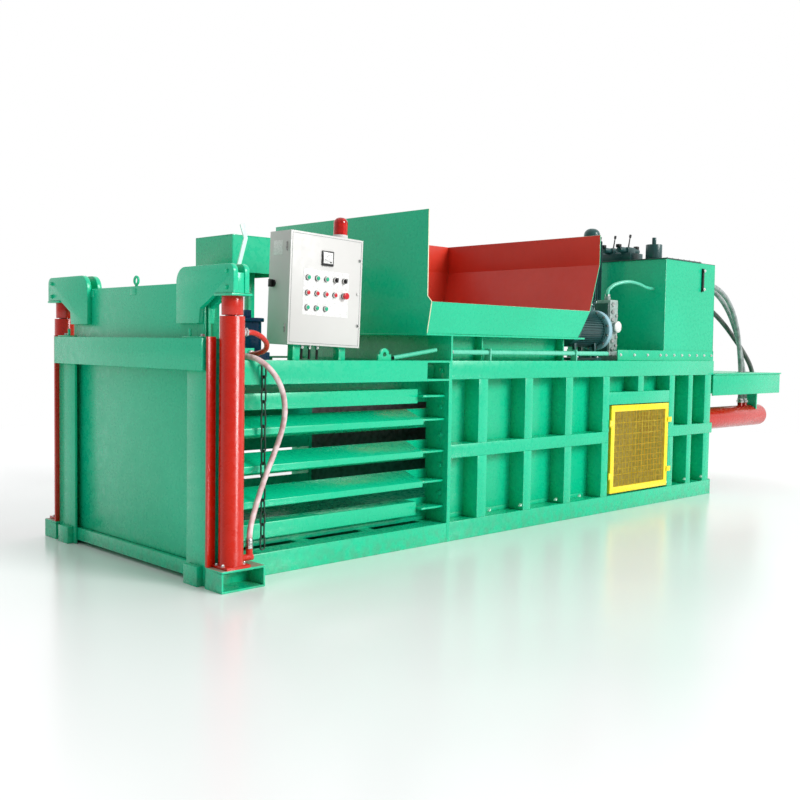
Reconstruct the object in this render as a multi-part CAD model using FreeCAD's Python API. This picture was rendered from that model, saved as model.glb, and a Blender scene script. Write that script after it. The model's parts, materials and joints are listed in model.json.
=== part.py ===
"""Horizontal recycling baler: bale chamber with lifting gate, press section with hopper, ram and power pack.

Millimetres, +Z up.  The pieces are laid out with X = 0 at the bolted joint flange, negative towards the
gate and positive towards the ram cylinders, Y = 0 on the centreline (operator's side negative) and Z = 0
on the ground.  They are saved with X = 0 at the middle of the machine's length.
"""
import FreeCAD, Part
import math
import os
from FreeCAD import Vector as V

# ---- Driving dimensions: frame ----
BODY_W = 2000.0           # over the side ribs
DECK_Z = 1450.0           # top of the frame
CHAMBER_L = 2050.0        # bale chamber, gate frame to joint
PRESS_L = 4190.0          # press section, joint to rear bulkhead
TAIL_L = 1610.0           # tail frame behind the bulkhead
INNER_W = 1500.0          # bale width
FLOOR_Z = 190.0           # chamber floor
ROOF_DEPTH = 160.0        # roof box: deck down to the underside of the chamber roof
PLATE = 16.0              # frame plate
FLOOR_T = 35.0            # floor plate
LINER_T = 20.0            # chamber side strips and liners
BEAM_DEPTH = 160.0        # side beams and ribs, out from the wall
BEAM_H = 155.0            # bottom side beam
TOP_BEAM_H = 150.0        # top side beam of the press section
MID_BEAM_Z = 669.0
MID_BEAM_H = 108.0
BEARER_W = 120.0          # cross bearers under the floor
CHAMBER_BEARERS = 4
PRESS_BEARERS = 6
ROOF_RIBS = 5
FLANGE_T = 18.0           # each of the two joint flanges
POCKET_L = 284.0          # open bolting pocket beside the joint
BOLT_R = 12.0
BOLT_CLEAR = 1.0
RUN_GAP = 5.0             # ram and gate beside their guides
TAIL_DROP = 140.0         # deck down to the top of the tail shelf
TAIL_DEPTH = 240.0
TAIL_LIP = 12.0
HANGER_T = 30.0

# ---- Press section side ribs and the net door's bay ----
RIBS = [(326.0, 114.0), (930.0, 107.0), (1515.0, 105.0), (2101.0, 106.0)]       # start, width
REAR_RIBS = [(901.0, 101.0), (525.0, 91.0), (179.0, 131.0)]      # start, ahead of the rear end
LINTEL_Z = 1030.0
LINTEL_H = 120.0
SHORT_RIB_X = 2700.0
SHORT_RIB_W = 100.0
DOOR_BAR = 60.0
DOOR_T = 30.0
DOOR_GAP_LEFT = 43.0
DOOR_GAP = 9.0
NET_PITCH = 60.0
NET_BAR = 5.0
HINGE_R = 8.0

# ---- Chamber side bars: centre height, and the half height where they meet the wall ----
HAT_ZS = [984.0, 731.0, 494.0]
HAT_BASE = 155.0
HAT_FACE = (33.0, 12.0)   # outer face, below and above the centre height
HAT_IN = 30.0             # outer face, in from the body's side
FLAT_TOP = (177.0, 64.0)  # below the roof
FLAT_LOW = (42.0, 149.0)  # above the floor
FLAT_IN = 100.0
FAR_SLOT = 26.0           # wire slots on the far side
LUG_X = -704.0
LUG_W = 130.0
LUG_H = 90.0
LUG_R = 45.0
LUG_T = 20.0
LUG_HOLE_R = 18.0
MANIFOLD_X = (40.0, 210.0)    # small hose manifolds on the roof, from the chamber's gate end
MANIFOLD_IN = (115.0, 155.0)
MANIFOLD_H = 80.0

# ---- Hopper ----
HOPPER_RISE = 195.0       # deck up to the hopper's flange
HOPPER_H = 970.0
LIP_H = 260.0
FOLD_H = 695.0
HOPPER_X0 = -300.0
HOPPER_X1 = 1985.0
HOPPER_BACK = 930.0
LIP_FLARE = 45.0          # the loading lip leans out
THROAT_L = 1670.0
THROAT_FLANGE = 110.0     # hopper flange past the throat
SHEET = 10.0
KNIFE_BEAM = 80.0
BASE_GUSSETS = [440.0, 1560.0]
GUSSET_IN = 80.0

# ---- Gate, its frame and lift cylinders ----
GATE_W = 1800.0
GATE_T = 50.0
GATE_BACK = 40.0          # gap from the gate to the plates it slides along, behind and in front
GATE_FRONT = 33.0
GATE_Z0 = 130.0
GATE_RISE = 500.0         # gate above the deck
GATE_SKIN = 16.0
GATE_BARS = 6
POST_SIDE = 35.0          # posts, out from the bale's width
POST_OVER = 50.0          # posts, out from the body's side
POST_RISE = 140.0
POST_BACK = 107.0
POST_PLATE = 20.0
POST_WEB = 30.0
CROSS_T = 50.0
CROSS_DROP = 65.0         # beam's lower edge under the deck
CROSS_OVER = 30.0
CHAIN_WIRE = 6.0          # wire radius
CHAIN_W = 46.0
CHAIN_PITCH = 82.0
CHAIN_LINKS = 15
CHAIN_X = 185.0           # from the chamber's gate end
CHAIN_DROP = 38.0
HOOD_X = (570.0, 1150.0)  # valve hood and valve, from the chamber's gate end
HOOD_Y = (-100.0, 400.0)
HOOD_Z = (650.0, 930.0)
VALVE_X = 750.0
RAIL_W = 50.0
FOOT_Y = (820.0, 980.0)
SILL_Z = 30.0
HOOK_T = 35.0
HOOK_REACH = 125.0        # hooks past the cylinder's axis
HOOK_GRIP = 280.0         # hooks in from the gate's edge
HOOK_RISE = 102.0         # hooks above the gate
HOOK_LIFT = 95.0          # hooks above the posts
LIFT_R = 79.0
LIFT_BEHIND = 20.0        # cylinder's axis behind the gate's mid-plane
LIFT_SPACE = 21.0         # between post and cylinder
LIFT_BORE = 65.0
LIFT_ROD = 45.0
LIFT_RISE = 280.0         # barrel above the deck
SLEEVE_R = 68.0
SLEEVE_L = 125.0          # barrel's top to the cap plate
SLEEVE_GAP = 7.0
CAP_T = 15.0
FOOT_H = 140.0
FOOT_T = 14.0
FOOT_X = (128.0, 205.0)   # foot box, in front of and behind the cylinder's axis
LIFT_FLANGE_MARGIN = 11.0
PORT_R = 22.0
PORT_DROP = 99.0          # upper port below the barrel's top
ELBOW_OUT = 63.0

# ---- Ram and main cylinders ----
RAM_LEN = 1300.0
RAM_FACE_T = 60.0
RAM_WALL = 25.0
APRON_L = 880.0
APRON_IN = 80.0
RAM_WEB_Y = 300.0
MAIN_IN = 110.0           # cylinder's axis in from the side of the bale
MAIN_Z = 780.0
MAIN_R = 125.0
MAIN_BORE = 100.0
MAIN_ROD = 70.0
MAIN_START = 400.0        # barrel, behind the drawn-back ram
MAIN_OVER = 195.0         # barrel, past the tail frame
MAIN_PORTS = [2080.0, 2190.0, 2407.0]     # hose ports, from the barrel's front end
MAIN_PORT_R = 30.0
MAIN_PORT_H = 35.0
SEAL_GAP = 0.05
HEAD = 60.0               # gland and end cap length
FIT_GAP = 0.5

# ---- Power pack ----
TANK_L = 1005.0
TANK_OVER = 50.0          # tank, past the rear end of the press section
TANK_IN = 50.0            # tank, in from the body's side
TANK_W = 1200.0
TANK_H = 1040.0
TANK_T = 8.0
SKIRT_H = 105.0
RAIL_START = 845.0        # base rail, ahead of the tank
RAIL_D = 50.0
LID_T = 12.0
LID_L = 690.0
GAUGE_X = 733.0           # level gauge, along the tank
GAUGE_Z = (300.0, 55.0)   # its ends, below the tank's top
MOTOR_R = 165.0
MOTOR_RISE = 290.0        # motor's axis above the deck
MOTOR_IN = 300.0
MOTOR_X = (1405.0, 905.0) # motor's ends, ahead of the tank
MOTOR_FLANGE_R = 195.0
MOTOR_FLANGE_T = 60.0
PUMP_R = 95.0
PUMP_L = 115.0
MANIFOLD_L = 135.0
MANIFOLD_W = 160.0
MANIFOLD_Z = (50.0, 595.0)
STANDBY_X = 240.0         # upright motor, ahead of the tank
STANDBY_Y = -200.0
STANDBY_R = 100.0
STANDBY_TOP = 1375.0
HOSE_D = 55.0
LIFT_HOSE_D = 38.0
PIPE_D = 34.0
DECK_PIPE_D = 42.0

# ---- Control cabinet ----
CAB_START = 450.0         # cabinet, from the chamber's gate end
CAB_W = 660.0
CAB_RISE = 100.0
CAB_H = 780.0
CAB_IN = 50.0
CAB_DEPTH = 235.0
CAB_DOOR_T = 17.0
CAB_SHEET = 3.0
CAB_TILT = 2.0            # degrees, as it stands on its bracket
BUTTON_R = 14.0
BEZEL_RIM = 4.0
BEZEL_L = 16.0
BUTTON_TRAVEL = 4.0
COLUMNS = [0.238, 0.364, 0.490, 0.614, 0.740]
ROWS = [0.398, 0.533, 0.665]
METER_PLACE = (0.495, 0.21)
METER_W = 104.0
BEACON_IN = 137.0
BEACON_R = 51.0
BEACON_H = 128.0
BEACON_BASE = 30.0

# ---- Worked out from the above ----
HALF = BODY_W / 2
WALL_Y = HALF - BEAM_DEPTH
WALL_IN = WALL_Y - PLATE
INNER_Y = INNER_W / 2
STRIP_Y = INNER_Y + LINER_T
ROOF_Z = DECK_Z - ROOF_DEPTH
CHAMBER_END = -2 * FLANGE_T
HAT_Y = HALF - HAT_IN
FLAT_Y = HALF - FLAT_IN
FLAT_BARS = [(ROOF_Z - FLAT_TOP[0], ROOF_Z - FLAT_TOP[1]), (FLOOR_Z + FLAT_LOW[0], FLOOR_Z + FLAT_LOW[1])]
BAR_ZS = sorted(HAT_ZS + [sum(bar) / 2 for bar in FLAT_BARS])
HOPPER_Z = DECK_Z + HOPPER_RISE
HOPPER_TOP = HOPPER_Z + HOPPER_H
HOPPER_LIP = HOPPER_Z + LIP_H
HOPPER_FOLD = HOPPER_Z + FOLD_H
GATE_X = -CHAMBER_L - POST_BACK - GATE_BACK - GATE_T / 2      # mid-plane of the gate
GATE_TOP = DECK_Z + GATE_RISE
POST_X = GATE_X - GATE_T / 2 - GATE_FRONT - POST_PLATE        # front face of the posts
POST_IN = INNER_Y + POST_SIDE
POST_OUT = HALF + POST_OVER
POST_TOP = DECK_Z + POST_RISE
FRONT_X = POST_X - CROSS_T
LIFT_X = GATE_X + LIFT_BEHIND
LIFT_Y = POST_OUT + LIFT_SPACE + LIFT_R
LIFT_TOP = DECK_Z + LIFT_RISE
LIFT_HALF = LIFT_R + LIFT_FLANGE_MARGIN
SLEEVE_TOP = LIFT_TOP + SLEEVE_L
HOOK_OUT = LIFT_Y + HOOK_REACH
HOOK_IN = GATE_W / 2 - HOOK_GRIP
HOOK_TOP = GATE_TOP + HOOK_RISE
HOOK_LOW = POST_TOP + HOOK_LIFT
RAM_BACK = THROAT_L + KNIFE_BEAM          # ram face when drawn back
TAIL_X = PRESS_L + TAIL_L
TAIL_TOP = DECK_Z - TAIL_DROP
MAIN_Y = INNER_Y - MAIN_IN
MAIN_X0 = RAM_BACK + RAM_LEN + MAIN_START
MAIN_X1 = TAIL_X + MAIN_OVER
TANK_X = PRESS_L + TANK_OVER - TANK_L
TANK_Y = -HALF + TANK_IN
TANK_TOP = DECK_Z + TANK_H
MOTOR = (TANK_X - MOTOR_X[0], TANK_X - MOTOR_X[1])
MOTOR_Y = -HALF + MOTOR_IN
MOTOR_Z = DECK_Z + MOTOR_RISE
PUMP_X = MOTOR[1] + MOTOR_FLANGE_T
PUMP_END = PUMP_X + PUMP_L
CAB_X = -CHAMBER_L + CAB_START
CAB_Y = -HALF + CAB_IN
CAB_Z = DECK_Z + CAB_RISE
DOOR_X0 = RIBS[-1][0] + RIBS[-1][1]
DOOR_X1 = PRESS_L - REAR_RIBS[0][0]
MOVE_X = -(FRONT_X + MAIN_X1) / 2
TILT_CENTRE = V(CAB_X + CAB_W / 2, 0, CAB_Z + CAB_H / 2)


# ---- Small helpers ----
def block(x0, x1, y0, y1, z0, z1):
    return Part.makeBox(x1 - x0, y1 - y0, z1 - z0, V(x0, y0, z0))


def cylinder(radius, start, end):
    axis = V(*end) - V(*start)
    return Part.makeCylinder(radius, axis.Length, V(*start), axis)


def pair(shapes):
    """The given shapes and their mirror images on the other side of the centreline."""
    return shapes + [s.mirror(V(0, 0, 0), V(0, 1, 0)) for s in shapes]


def prism(points, along):
    """A flat outline given by its corner points, pushed out by a vector."""
    outline = Part.makePolygon([V(*p) for p in points] + [V(*points[0])])
    return Part.Face(outline).extrude(V(*along))


def corners_of(points):
    """Unit directions, turn and tangent length at each inner point of a route."""
    result = []
    for before, here, after in zip(points, points[1:], points[2:]):
        first = here - before
        second = after - here
        turn = first.getAngle(second)
        radius = 0.45 * min(first.Length, second.Length) / math.tan(turn / 2)
        result.append((here, first.normalize(), second.normalize(), turn, radius))
    return result


def tube(name, route, diameter):
    """A hose or pipe: straight runs joined by tangent arcs as large as the runs allow."""
    points = [V(*p) for p in route]
    edges = []
    start = points[0]
    radii = []
    for here, first, second, turn, radius in corners_of(points):
        reach = radius * math.tan(turn / 2)
        arc_start = here - first * reach
        arc_end = here + second * reach
        bisector = (second - first).normalize()
        centre = here + bisector * (radius / math.cos(turn / 2))
        middle = centre - bisector * radius
        edges.append(Part.LineSegment(start, arc_start).toShape())
        edges.append(Part.Arc(arc_start, middle, arc_end).toShape())
        start = arc_end
        radii.append(radius)
    edges.append(Part.LineSegment(start, points[-1]).toShape())
    path = Part.Wire(edges)
    heading = (points[1] - points[0]).normalize()
    section = Part.Wire([Part.Circle(points[0], heading, diameter / 2).toShape()])
    solid = path.makePipeShell([section], True, False)
    expected = math.pi * diameter ** 2 / 4 * path.Length
    print("%s: length %.0f, volume ratio %.3f, radii %s"
          % (name, path.Length, solid.Volume / expected, [round(r) for r in radii]))
    return solid


def channel(x0, x1, z0, z1):
    """Side beam on the +Y side: a web flush with the body's side, and two flanges in to the wall."""
    return [block(x0, x1, HALF - PLATE, HALF, z0, z1),
            block(x0, x1, WALL_Y, HALF - PLATE, z0, z0 + PLATE),
            block(x0, x1, WALL_Y, HALF - PLATE, z1 - PLATE, z1)]


def from_base(base, offsets):
    """Route points given from a base point."""
    return [(base[0] + x, base[1] + y, base[2] + z) for x, y, z in offsets]


def tilted(shapes):
    """Turned with the control cabinet, which stands a little out of true."""
    return [s.rotate(TILT_CENTRE, V(0, 1, 0), CAB_TILT) for s in shapes]


def hex_bolt(radius, start, end):
    """A bolt with a hexagon head at its start and a nut at its end, as one solid."""
    a = V(*start)
    axis = (V(*end) - a).normalize()
    side = axis.cross(V(0, 0, 1)).normalize()
    head_r = radius * 1.7
    head_h = radius * 1.2

    def hexagon(base):
        spokes = [base + FreeCAD.Rotation(axis, 60 * k).multVec(side) * head_r for k in range(6)]
        return Part.Face(Part.makePolygon(spokes + [spokes[0]])).extrude(axis * head_h)

    shank = Part.makeCylinder(radius, (V(*end) - a).Length, a, axis)
    return shank.fuse([hexagon(a - axis * head_h), hexagon(V(*end))]).removeSplitter()


# ---- Bale chamber ----
def chamber_floor():
    x0 = -CHAMBER_L
    under = FLOOR_Z - FLOOR_T
    shapes = [block(x0, CHAMBER_END, -STRIP_Y, STRIP_Y, under, FLOOR_Z)]
    for k in range(CHAMBER_BEARERS):
        x = x0 + k * (CHAMBER_L + CHAMBER_END - BEARER_W) / (CHAMBER_BEARERS - 1)
        shapes.append(block(x, x + BEARER_W, -WALL_Y, WALL_Y, 0, under))
    return shapes + pair(channel(x0, CHAMBER_END, 0, BEAM_H))


def side_strips(slot):
    """Inner strips of a chamber side, from floor to roof: the bars' own widths, or all but a narrow slot."""
    if slot is None:
        strips = [(z - HAT_BASE / 2, z + HAT_BASE / 2) for z in HAT_ZS]
        return strips + [(FLOOR_Z, FLAT_BARS[1][1]), (FLAT_BARS[0][0], ROOF_Z)]
    middles = [(low + high) / 2 for low, high in zip(BAR_ZS, BAR_ZS[1:])]
    lows = [FLOOR_Z] + [z + slot / 2 for z in middles]
    highs = [z - slot / 2 for z in middles] + [ROOF_Z]
    return list(zip(lows, highs))


def chamber_sides():
    """Side bars and strips; the wire slots are wide on the operator's side and narrow on the far side."""
    x0 = -CHAMBER_L
    bar_end = -POCKET_L
    bars = [block(x0, bar_end, STRIP_Y, FLAT_Y, z0, z1) for z0, z1 in FLAT_BARS]
    for z in HAT_ZS:
        outline = [(x0, STRIP_Y, z - HAT_BASE / 2), (x0, HAT_Y, z - HAT_FACE[0]),
                   (x0, HAT_Y, z + HAT_FACE[1]), (x0, STRIP_Y, z + HAT_BASE / 2)]
        bars.append(prism(outline, (bar_end - x0, 0, 0)))
    for z in BAR_ZS:
        bars.append(block(bar_end, CHAMBER_END, STRIP_Y, HAT_Y - 10, z - PLATE / 2, z + PLATE / 2))
    near = [block(x0, CHAMBER_END, -STRIP_Y, -INNER_Y, z0, z1) for z0, z1 in side_strips(None)]
    far = [block(x0, CHAMBER_END, INNER_Y, STRIP_Y, z0, z1) for z0, z1 in side_strips(FAR_SLOT)]
    return pair(bars) + near + far


def lifting_lug(x, y, z):
    hole_z = z + LUG_H - LUG_R
    lug = block(x - LUG_W / 2, x + LUG_W / 2, y, y + LUG_T, z, hole_z)
    lug = lug.fuse(cylinder(LUG_R, (x, y, hole_z), (x, y + LUG_T, hole_z)))
    return lug.cut(cylinder(LUG_HOLE_R, (x, y - 1, hole_z), (x, y + LUG_T + 1, hole_z))).removeSplitter()


def chamber_roof():
    x0 = -CHAMBER_L
    pocket = -POCKET_L
    rib_drop = 40.0
    shapes = [block(x0, CHAMBER_END, -WALL_Y, WALL_Y, ROOF_Z, ROOF_Z + PLATE)]
    for k in range(ROOF_RIBS):
        x = x0 + k * (CHAMBER_L + CHAMBER_END - PLATE) / (ROOF_RIBS - 1)
        shapes.append(block(x, x + PLATE, -WALL_Y, WALL_Y, ROOF_Z + PLATE, DECK_Z - rib_drop))
    side = channel(x0, pocket, ROOF_Z, DECK_Z)
    side.append(block(pocket, CHAMBER_END, WALL_Y, HALF, ROOF_Z, ROOF_Z + PLATE))
    side.append(block(pocket, CHAMBER_END, WALL_Y, HALF, DECK_Z - PLATE, DECK_Z))
    side.append(lifting_lug(LUG_X, HALF - 3 * LUG_T, DECK_Z))
    side.append(block(x0 + MANIFOLD_X[0], x0 + MANIFOLD_X[1], HALF - MANIFOLD_IN[1], HALF - MANIFOLD_IN[0],
                      DECK_Z, DECK_Z + MANIFOLD_H))
    return shapes + pair(side)


# ---- Joint between the two halves ----
def bolt_heights():
    """Half-way between the chamber's side bars, and one in the pocket of the top beam."""
    between = [(low + high) / 2 for low, high in zip(BAR_ZS, BAR_ZS[1:])]
    return between + [(ROOF_Z + DECK_Z) / 2]


def joint_flange():
    shapes = []
    bolt_y = (WALL_Y + HALF) / 2
    for x0, top in ((-2 * FLANGE_T, DECK_Z), (-FLANGE_T, HOPPER_Z)):
        x1 = x0 + FLANGE_T
        side = block(x0, x1, INNER_Y, HALF, 0, top)
        for z in bolt_heights():
            side = side.cut(cylinder(BOLT_R + BOLT_CLEAR, (x0 - 1, bolt_y, z), (x1 + 1, bolt_y, z)))
        shapes += pair([side])
        shapes.append(block(x0, x1, -INNER_Y, INNER_Y, 0, FLOOR_Z))
        shapes.append(block(x0, x1, -INNER_Y, INNER_Y, ROOF_Z, top))
    return shapes


def flange_bolts():
    bolt_y = (WALL_Y + HALF) / 2
    return pair([hex_bolt(BOLT_R, (-2 * FLANGE_T, bolt_y, z), (0, bolt_y, z)) for z in bolt_heights()])


# ---- Press section ----
def press_floor():
    under = FLOOR_Z - FLOOR_T
    shapes = [block(0, PRESS_L, -WALL_Y, WALL_Y, under, FLOOR_Z)]
    for k in range(PRESS_BEARERS):
        x = k * (PRESS_L - BEARER_W) / (PRESS_BEARERS - 1)
        shapes.append(block(x, x + BEARER_W, -WALL_Y, WALL_Y, 0, under))
    return shapes + pair(channel(0, PRESS_L, 0, BEAM_H))


def side_frame():
    """Beams and ribs of one side, on the +Y side."""
    mid_top = MID_BEAM_Z + MID_BEAM_H
    roof = DECK_Z - TOP_BEAM_H
    shapes = channel(0, DOOR_X0, MID_BEAM_Z, mid_top) + channel(DOOR_X1, PRESS_L, MID_BEAM_Z, mid_top)
    for x, width in RIBS + [(PRESS_L - ahead, rib_w) for ahead, rib_w in REAR_RIBS]:
        shapes.append(block(x, x + width, WALL_Y, HALF, BEAM_H, MID_BEAM_Z))
        shapes.append(block(x, x + width, WALL_Y, HALF, mid_top, roof))
    shapes.append(block(DOOR_X0, DOOR_X1, WALL_Y, HALF, LINTEL_Z, LINTEL_Z + LINTEL_H))
    short_x1 = SHORT_RIB_X + SHORT_RIB_W
    shapes.append(block(SHORT_RIB_X, short_x1, WALL_Y, HALF, LINTEL_Z + LINTEL_H, roof))
    return shapes


def press_sides():
    shapes = pair(side_frame())
    shapes.append(block(0, PRESS_L, WALL_IN, WALL_Y, FLOOR_Z, DECK_Z))
    shapes.append(block(0, DOOR_X0, -WALL_Y, -WALL_IN, FLOOR_Z, DECK_Z))
    shapes.append(block(DOOR_X1, PRESS_L, -WALL_Y, -WALL_IN, FLOOR_Z, DECK_Z))
    shapes.append(block(DOOR_X0, DOOR_X1, -WALL_Y, -WALL_IN, LINTEL_Z, DECK_Z))
    return shapes


def press_deck():
    roof = DECK_Z - TOP_BEAM_H
    beam_end = THROAT_L + KNIFE_BEAM
    shapes = pair(channel(0, PRESS_L, roof, DECK_Z))
    shapes += pair([block(0, THROAT_L, INNER_Y, WALL_IN, ROOF_Z, ROOF_Z + PLATE)])
    shapes.append(block(THROAT_L, beam_end, -WALL_IN, WALL_IN, ROOF_Z, DECK_Z))
    shapes.append(block(beam_end, PRESS_L, -WALL_IN, WALL_IN, DECK_Z - PLATE, DECK_Z))
    shapes.append(block(beam_end, MAIN_X0 - 100, -WALL_IN, WALL_IN, ROOF_Z, ROOF_Z + PLATE))
    return shapes


def ram_guides():
    liner_end = DOOR_X0 - 50
    rail_h = 100.0
    rail_end = RAM_BACK + RAM_LEN + APRON_L / 3
    shapes = [block(0, liner_end, INNER_Y, STRIP_Y, FLOOR_Z, ROOF_Z),
              block(liner_end, rail_end, INNER_Y, WALL_IN, FLOOR_Z, FLOOR_Z + rail_h),
              block(liner_end, rail_end, INNER_Y, WALL_IN, ROOF_Z - rail_h, ROOF_Z)]
    return pair(shapes)


def rear_bulkhead():
    plate = block(PRESS_L - 80, PRESS_L, -WALL_IN, WALL_IN, FLOOR_Z, DECK_Z - PLATE)
    for y in (-MAIN_Y, MAIN_Y):
        plate = plate.cut(cylinder(MAIN_R + FIT_GAP, (PRESS_L - 90, y, MAIN_Z), (PRESS_L + 10, y, MAIN_Z)))
    return [plate]


def tail_frame():
    """Shelf over the rear cylinders, slotted where the hoses go down, with a hanger round each barrel."""
    low = TAIL_TOP - TAIL_DEPTH
    plate_z = TAIL_TOP - PLATE
    inner = HALF - PLATE
    edge = HALF + TAIL_LIP
    port_x = [MAIN_X0 + x for x in MAIN_PORTS]
    slot_x = (port_x[0] - 4 * MAIN_PORT_R, port_x[1] + 3 * MAIN_PORT_R)
    slot_y = (MAIN_Y - 100, MAIN_Y + 100)
    hanger_x = TAIL_X - 2 * HANGER_T
    hanger = block(hanger_x, hanger_x + HANGER_T, slot_y[0], slot_y[1], MAIN_Z, low)
    hanger = hanger.cut(cylinder(MAIN_R + FIT_GAP, (hanger_x - 10, MAIN_Y, MAIN_Z), (TAIL_X, MAIN_Y, MAIN_Z)))
    side = [block(PRESS_L, TAIL_X, inner, HALF, low, plate_z),
            block(slot_x[0], slot_x[1], slot_y[1], edge, plate_z, TAIL_TOP),
            hanger]
    shapes = pair(side)
    shapes.append(block(PRESS_L, slot_x[0], -edge, edge, plate_z, TAIL_TOP))
    shapes.append(block(slot_x[0], slot_x[1], -slot_y[0], slot_y[0], plate_z, TAIL_TOP))
    shapes.append(block(slot_x[1], TAIL_X + TAIL_LIP, -edge, edge, plate_z, TAIL_TOP))
    shapes.append(block(TAIL_X - PLATE, TAIL_X, -inner, inner, low, plate_z))
    for x in (PRESS_L + 500, PRESS_L + 1000, hanger_x):
        shapes.append(block(x, x + PLATE, -inner, inner, low, plate_z))
    return shapes


# ---- Hopper ----
def hopper_base():
    shapes = pair([block(0, THROAT_L + PLATE, WALL_IN, WALL_Y, DECK_Z, HOPPER_Z)])
    shapes.append(block(THROAT_L, THROAT_L + PLATE, -WALL_IN, WALL_IN, DECK_Z, HOPPER_Z))
    for x in BASE_GUSSETS:
        shapes += pair([block(x, x + PLATE, WALL_Y, HALF - GUSSET_IN, DECK_Z, HOPPER_Z)])
    return shapes


def hopper():
    """Folded sheets: the far and right sides slope in to the throat, the low loading lip leans out."""
    z0 = HOPPER_Z + PLATE
    x0 = HOPPER_X0 + SHEET
    top, lip, fold = HOPPER_TOP, HOPPER_LIP, HOPPER_FOLD
    slope = (HOPPER_X1 - THROAT_L) / (fold - z0)
    lip_x = THROAT_L + slope * (lip - z0)
    near = -HALF
    flare = near - LIP_FLARE
    back = HOPPER_BACK - SHEET
    right = [(THROAT_L, near, z0), (lip_x, flare, lip), (HOPPER_X1, near, fold),
             (HOPPER_X1, HOPPER_BACK, fold), (THROAT_L, INNER_Y + SHEET, z0)]
    left = [(HOPPER_X0, near, z0), (HOPPER_X0, flare, lip), (HOPPER_X0, near, lip + LIP_FLARE),
            (HOPPER_X0, near, top), (HOPPER_X0, HOPPER_BACK, top), (HOPPER_X0, HOPPER_BACK, fold),
            (HOPPER_X0, INNER_Y + SHEET, z0)]
    return [
        block(HOPPER_X0, 0, near, HOPPER_BACK, HOPPER_Z, z0),
        block(0, THROAT_L, near, -INNER_Y, HOPPER_Z, z0),
        block(0, THROAT_L, INNER_Y, HOPPER_BACK, HOPPER_Z, z0),
        block(THROAT_L, THROAT_L + THROAT_FLANGE, near, HOPPER_BACK, HOPPER_Z, z0),
        prism(left, (SHEET, 0, 0)),
        prism([(x0, near, z0), (THROAT_L, near, z0), (lip_x, flare, lip), (x0, flare, lip)], (0, SHEET, 0)),
        prism([(x0, INNER_Y, z0), (THROAT_L, INNER_Y, z0), (HOPPER_X1, back, fold), (x0, back, fold)],
              (0, SHEET, 0)),
        block(x0, HOPPER_X1, back, HOPPER_BACK, fold, top),
        prism(right, (SHEET, 0, 0)),
        block(HOPPER_X1, HOPPER_X1 + SHEET, near, HOPPER_BACK, fold, top),
    ]


# ---- Gate frame ----
def gate_posts():
    end = -CHAMBER_L
    back = end - POST_BACK
    inside = POST_X + POST_PLATE
    post = [block(POST_X, inside, POST_IN, POST_OUT, GATE_Z0, POST_TOP),
            block(back, end, INNER_Y, POST_OUT, 0, POST_TOP),
            block(inside, back, POST_OUT - POST_WEB, POST_OUT, 0, POST_TOP),
            block(POST_X, inside, POST_IN, POST_OUT, 0, GATE_Z0),
            block(FRONT_X + 5, POST_X, FOOT_Y[0], FOOT_Y[1], 0, GATE_Z0)]
    sill_y = POST_OUT - POST_WEB
    sill = block(inside, back, -sill_y, sill_y, SILL_Z, GATE_Z0 - RUN_GAP)
    base = block(back, end, -INNER_Y, INNER_Y, 0, FLOOR_Z)
    head = block(back, end, -INNER_Y, INNER_Y, ROOF_Z + PLATE, DECK_Z)
    return pair(post) + [sill, base, head]


def guide_rails():
    half = 30.0
    return pair([block(POST_X - half, POST_X + half, POST_OUT, POST_OUT + RAIL_W / 2, FOOT_H, POST_TOP + 10)])


def cross_beam():
    """Beam across the posts, with a cap plate and a hook stop at each end."""
    beam_y = HALF + CROSS_OVER
    cap_t = 10.0
    stop_x = POST_X - 15
    stop_y = POST_IN + 60
    beam = block(FRONT_X, POST_X, -beam_y, beam_y, DECK_Z - CROSS_DROP, POST_TOP)
    cap = block(FRONT_X + cap_t, POST_X + POST_PLATE, POST_IN, POST_OUT - 60, POST_TOP, POST_TOP + cap_t)
    stop = cylinder(10, (stop_x, stop_y, POST_TOP + cap_t), (stop_x, stop_y, HOOK_LOW - 35))
    return [beam] + pair([cap, stop])


def cylinder_feet():
    x0 = LIFT_X - FOOT_X[0]
    x1 = LIFT_X + FOOT_X[1]
    y1 = LIFT_Y + LIFT_HALF
    top = FOOT_H - FOOT_T
    foot = [block(x0, x1, POST_OUT, y1, top, FOOT_H),
            block(x0, x1, POST_OUT, y1, 0, FOOT_T),
            block(x0, x0 + FOOT_T, POST_OUT, y1, FOOT_T, top),
            block(x1 - FOOT_T, x1, POST_OUT, y1, FOOT_T, top),
            block(x0 + FOOT_T, x1 - FOOT_T, POST_OUT, POST_OUT + RAIL_W / 2, FOOT_T, top)]
    return pair(foot)


def lift_barrels():
    x, y = LIFT_X, LIFT_Y
    end_t = 40.0
    flange_t = 18.0
    low_z = FOOT_H + 45
    port_z = LIFT_TOP - PORT_DROP
    elbow_x = x + LIFT_R + ELBOW_OUT
    barrel = cylinder(LIFT_R, (x, y, FOOT_H), (x, y, LIFT_TOP))
    flange = block(x - LIFT_HALF, x + LIFT_HALF, y - LIFT_HALF + 15, y + LIFT_HALF, FOOT_H, FOOT_H + flange_t)
    ports = [cylinder(PORT_R, (x, y, port_z), (x + LIFT_R + 25, y, port_z)),
             cylinder(PORT_R, (x, y, low_z), (elbow_x + PORT_R, y, low_z)),
             cylinder(PORT_R, (elbow_x, y, low_z), (elbow_x, y, low_z + 65))]
    barrel = barrel.fuse([flange] + ports)
    bore = cylinder(LIFT_BORE, (x, y, FOOT_H + end_t), (x, y, LIFT_TOP - end_t))
    gland = cylinder(LIFT_ROD + SEAL_GAP, (x, y, LIFT_TOP - end_t - 10), (x, y, LIFT_TOP + 1))
    return pair([barrel.cut(bore.fuse(gland)).removeSplitter()])


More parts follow.
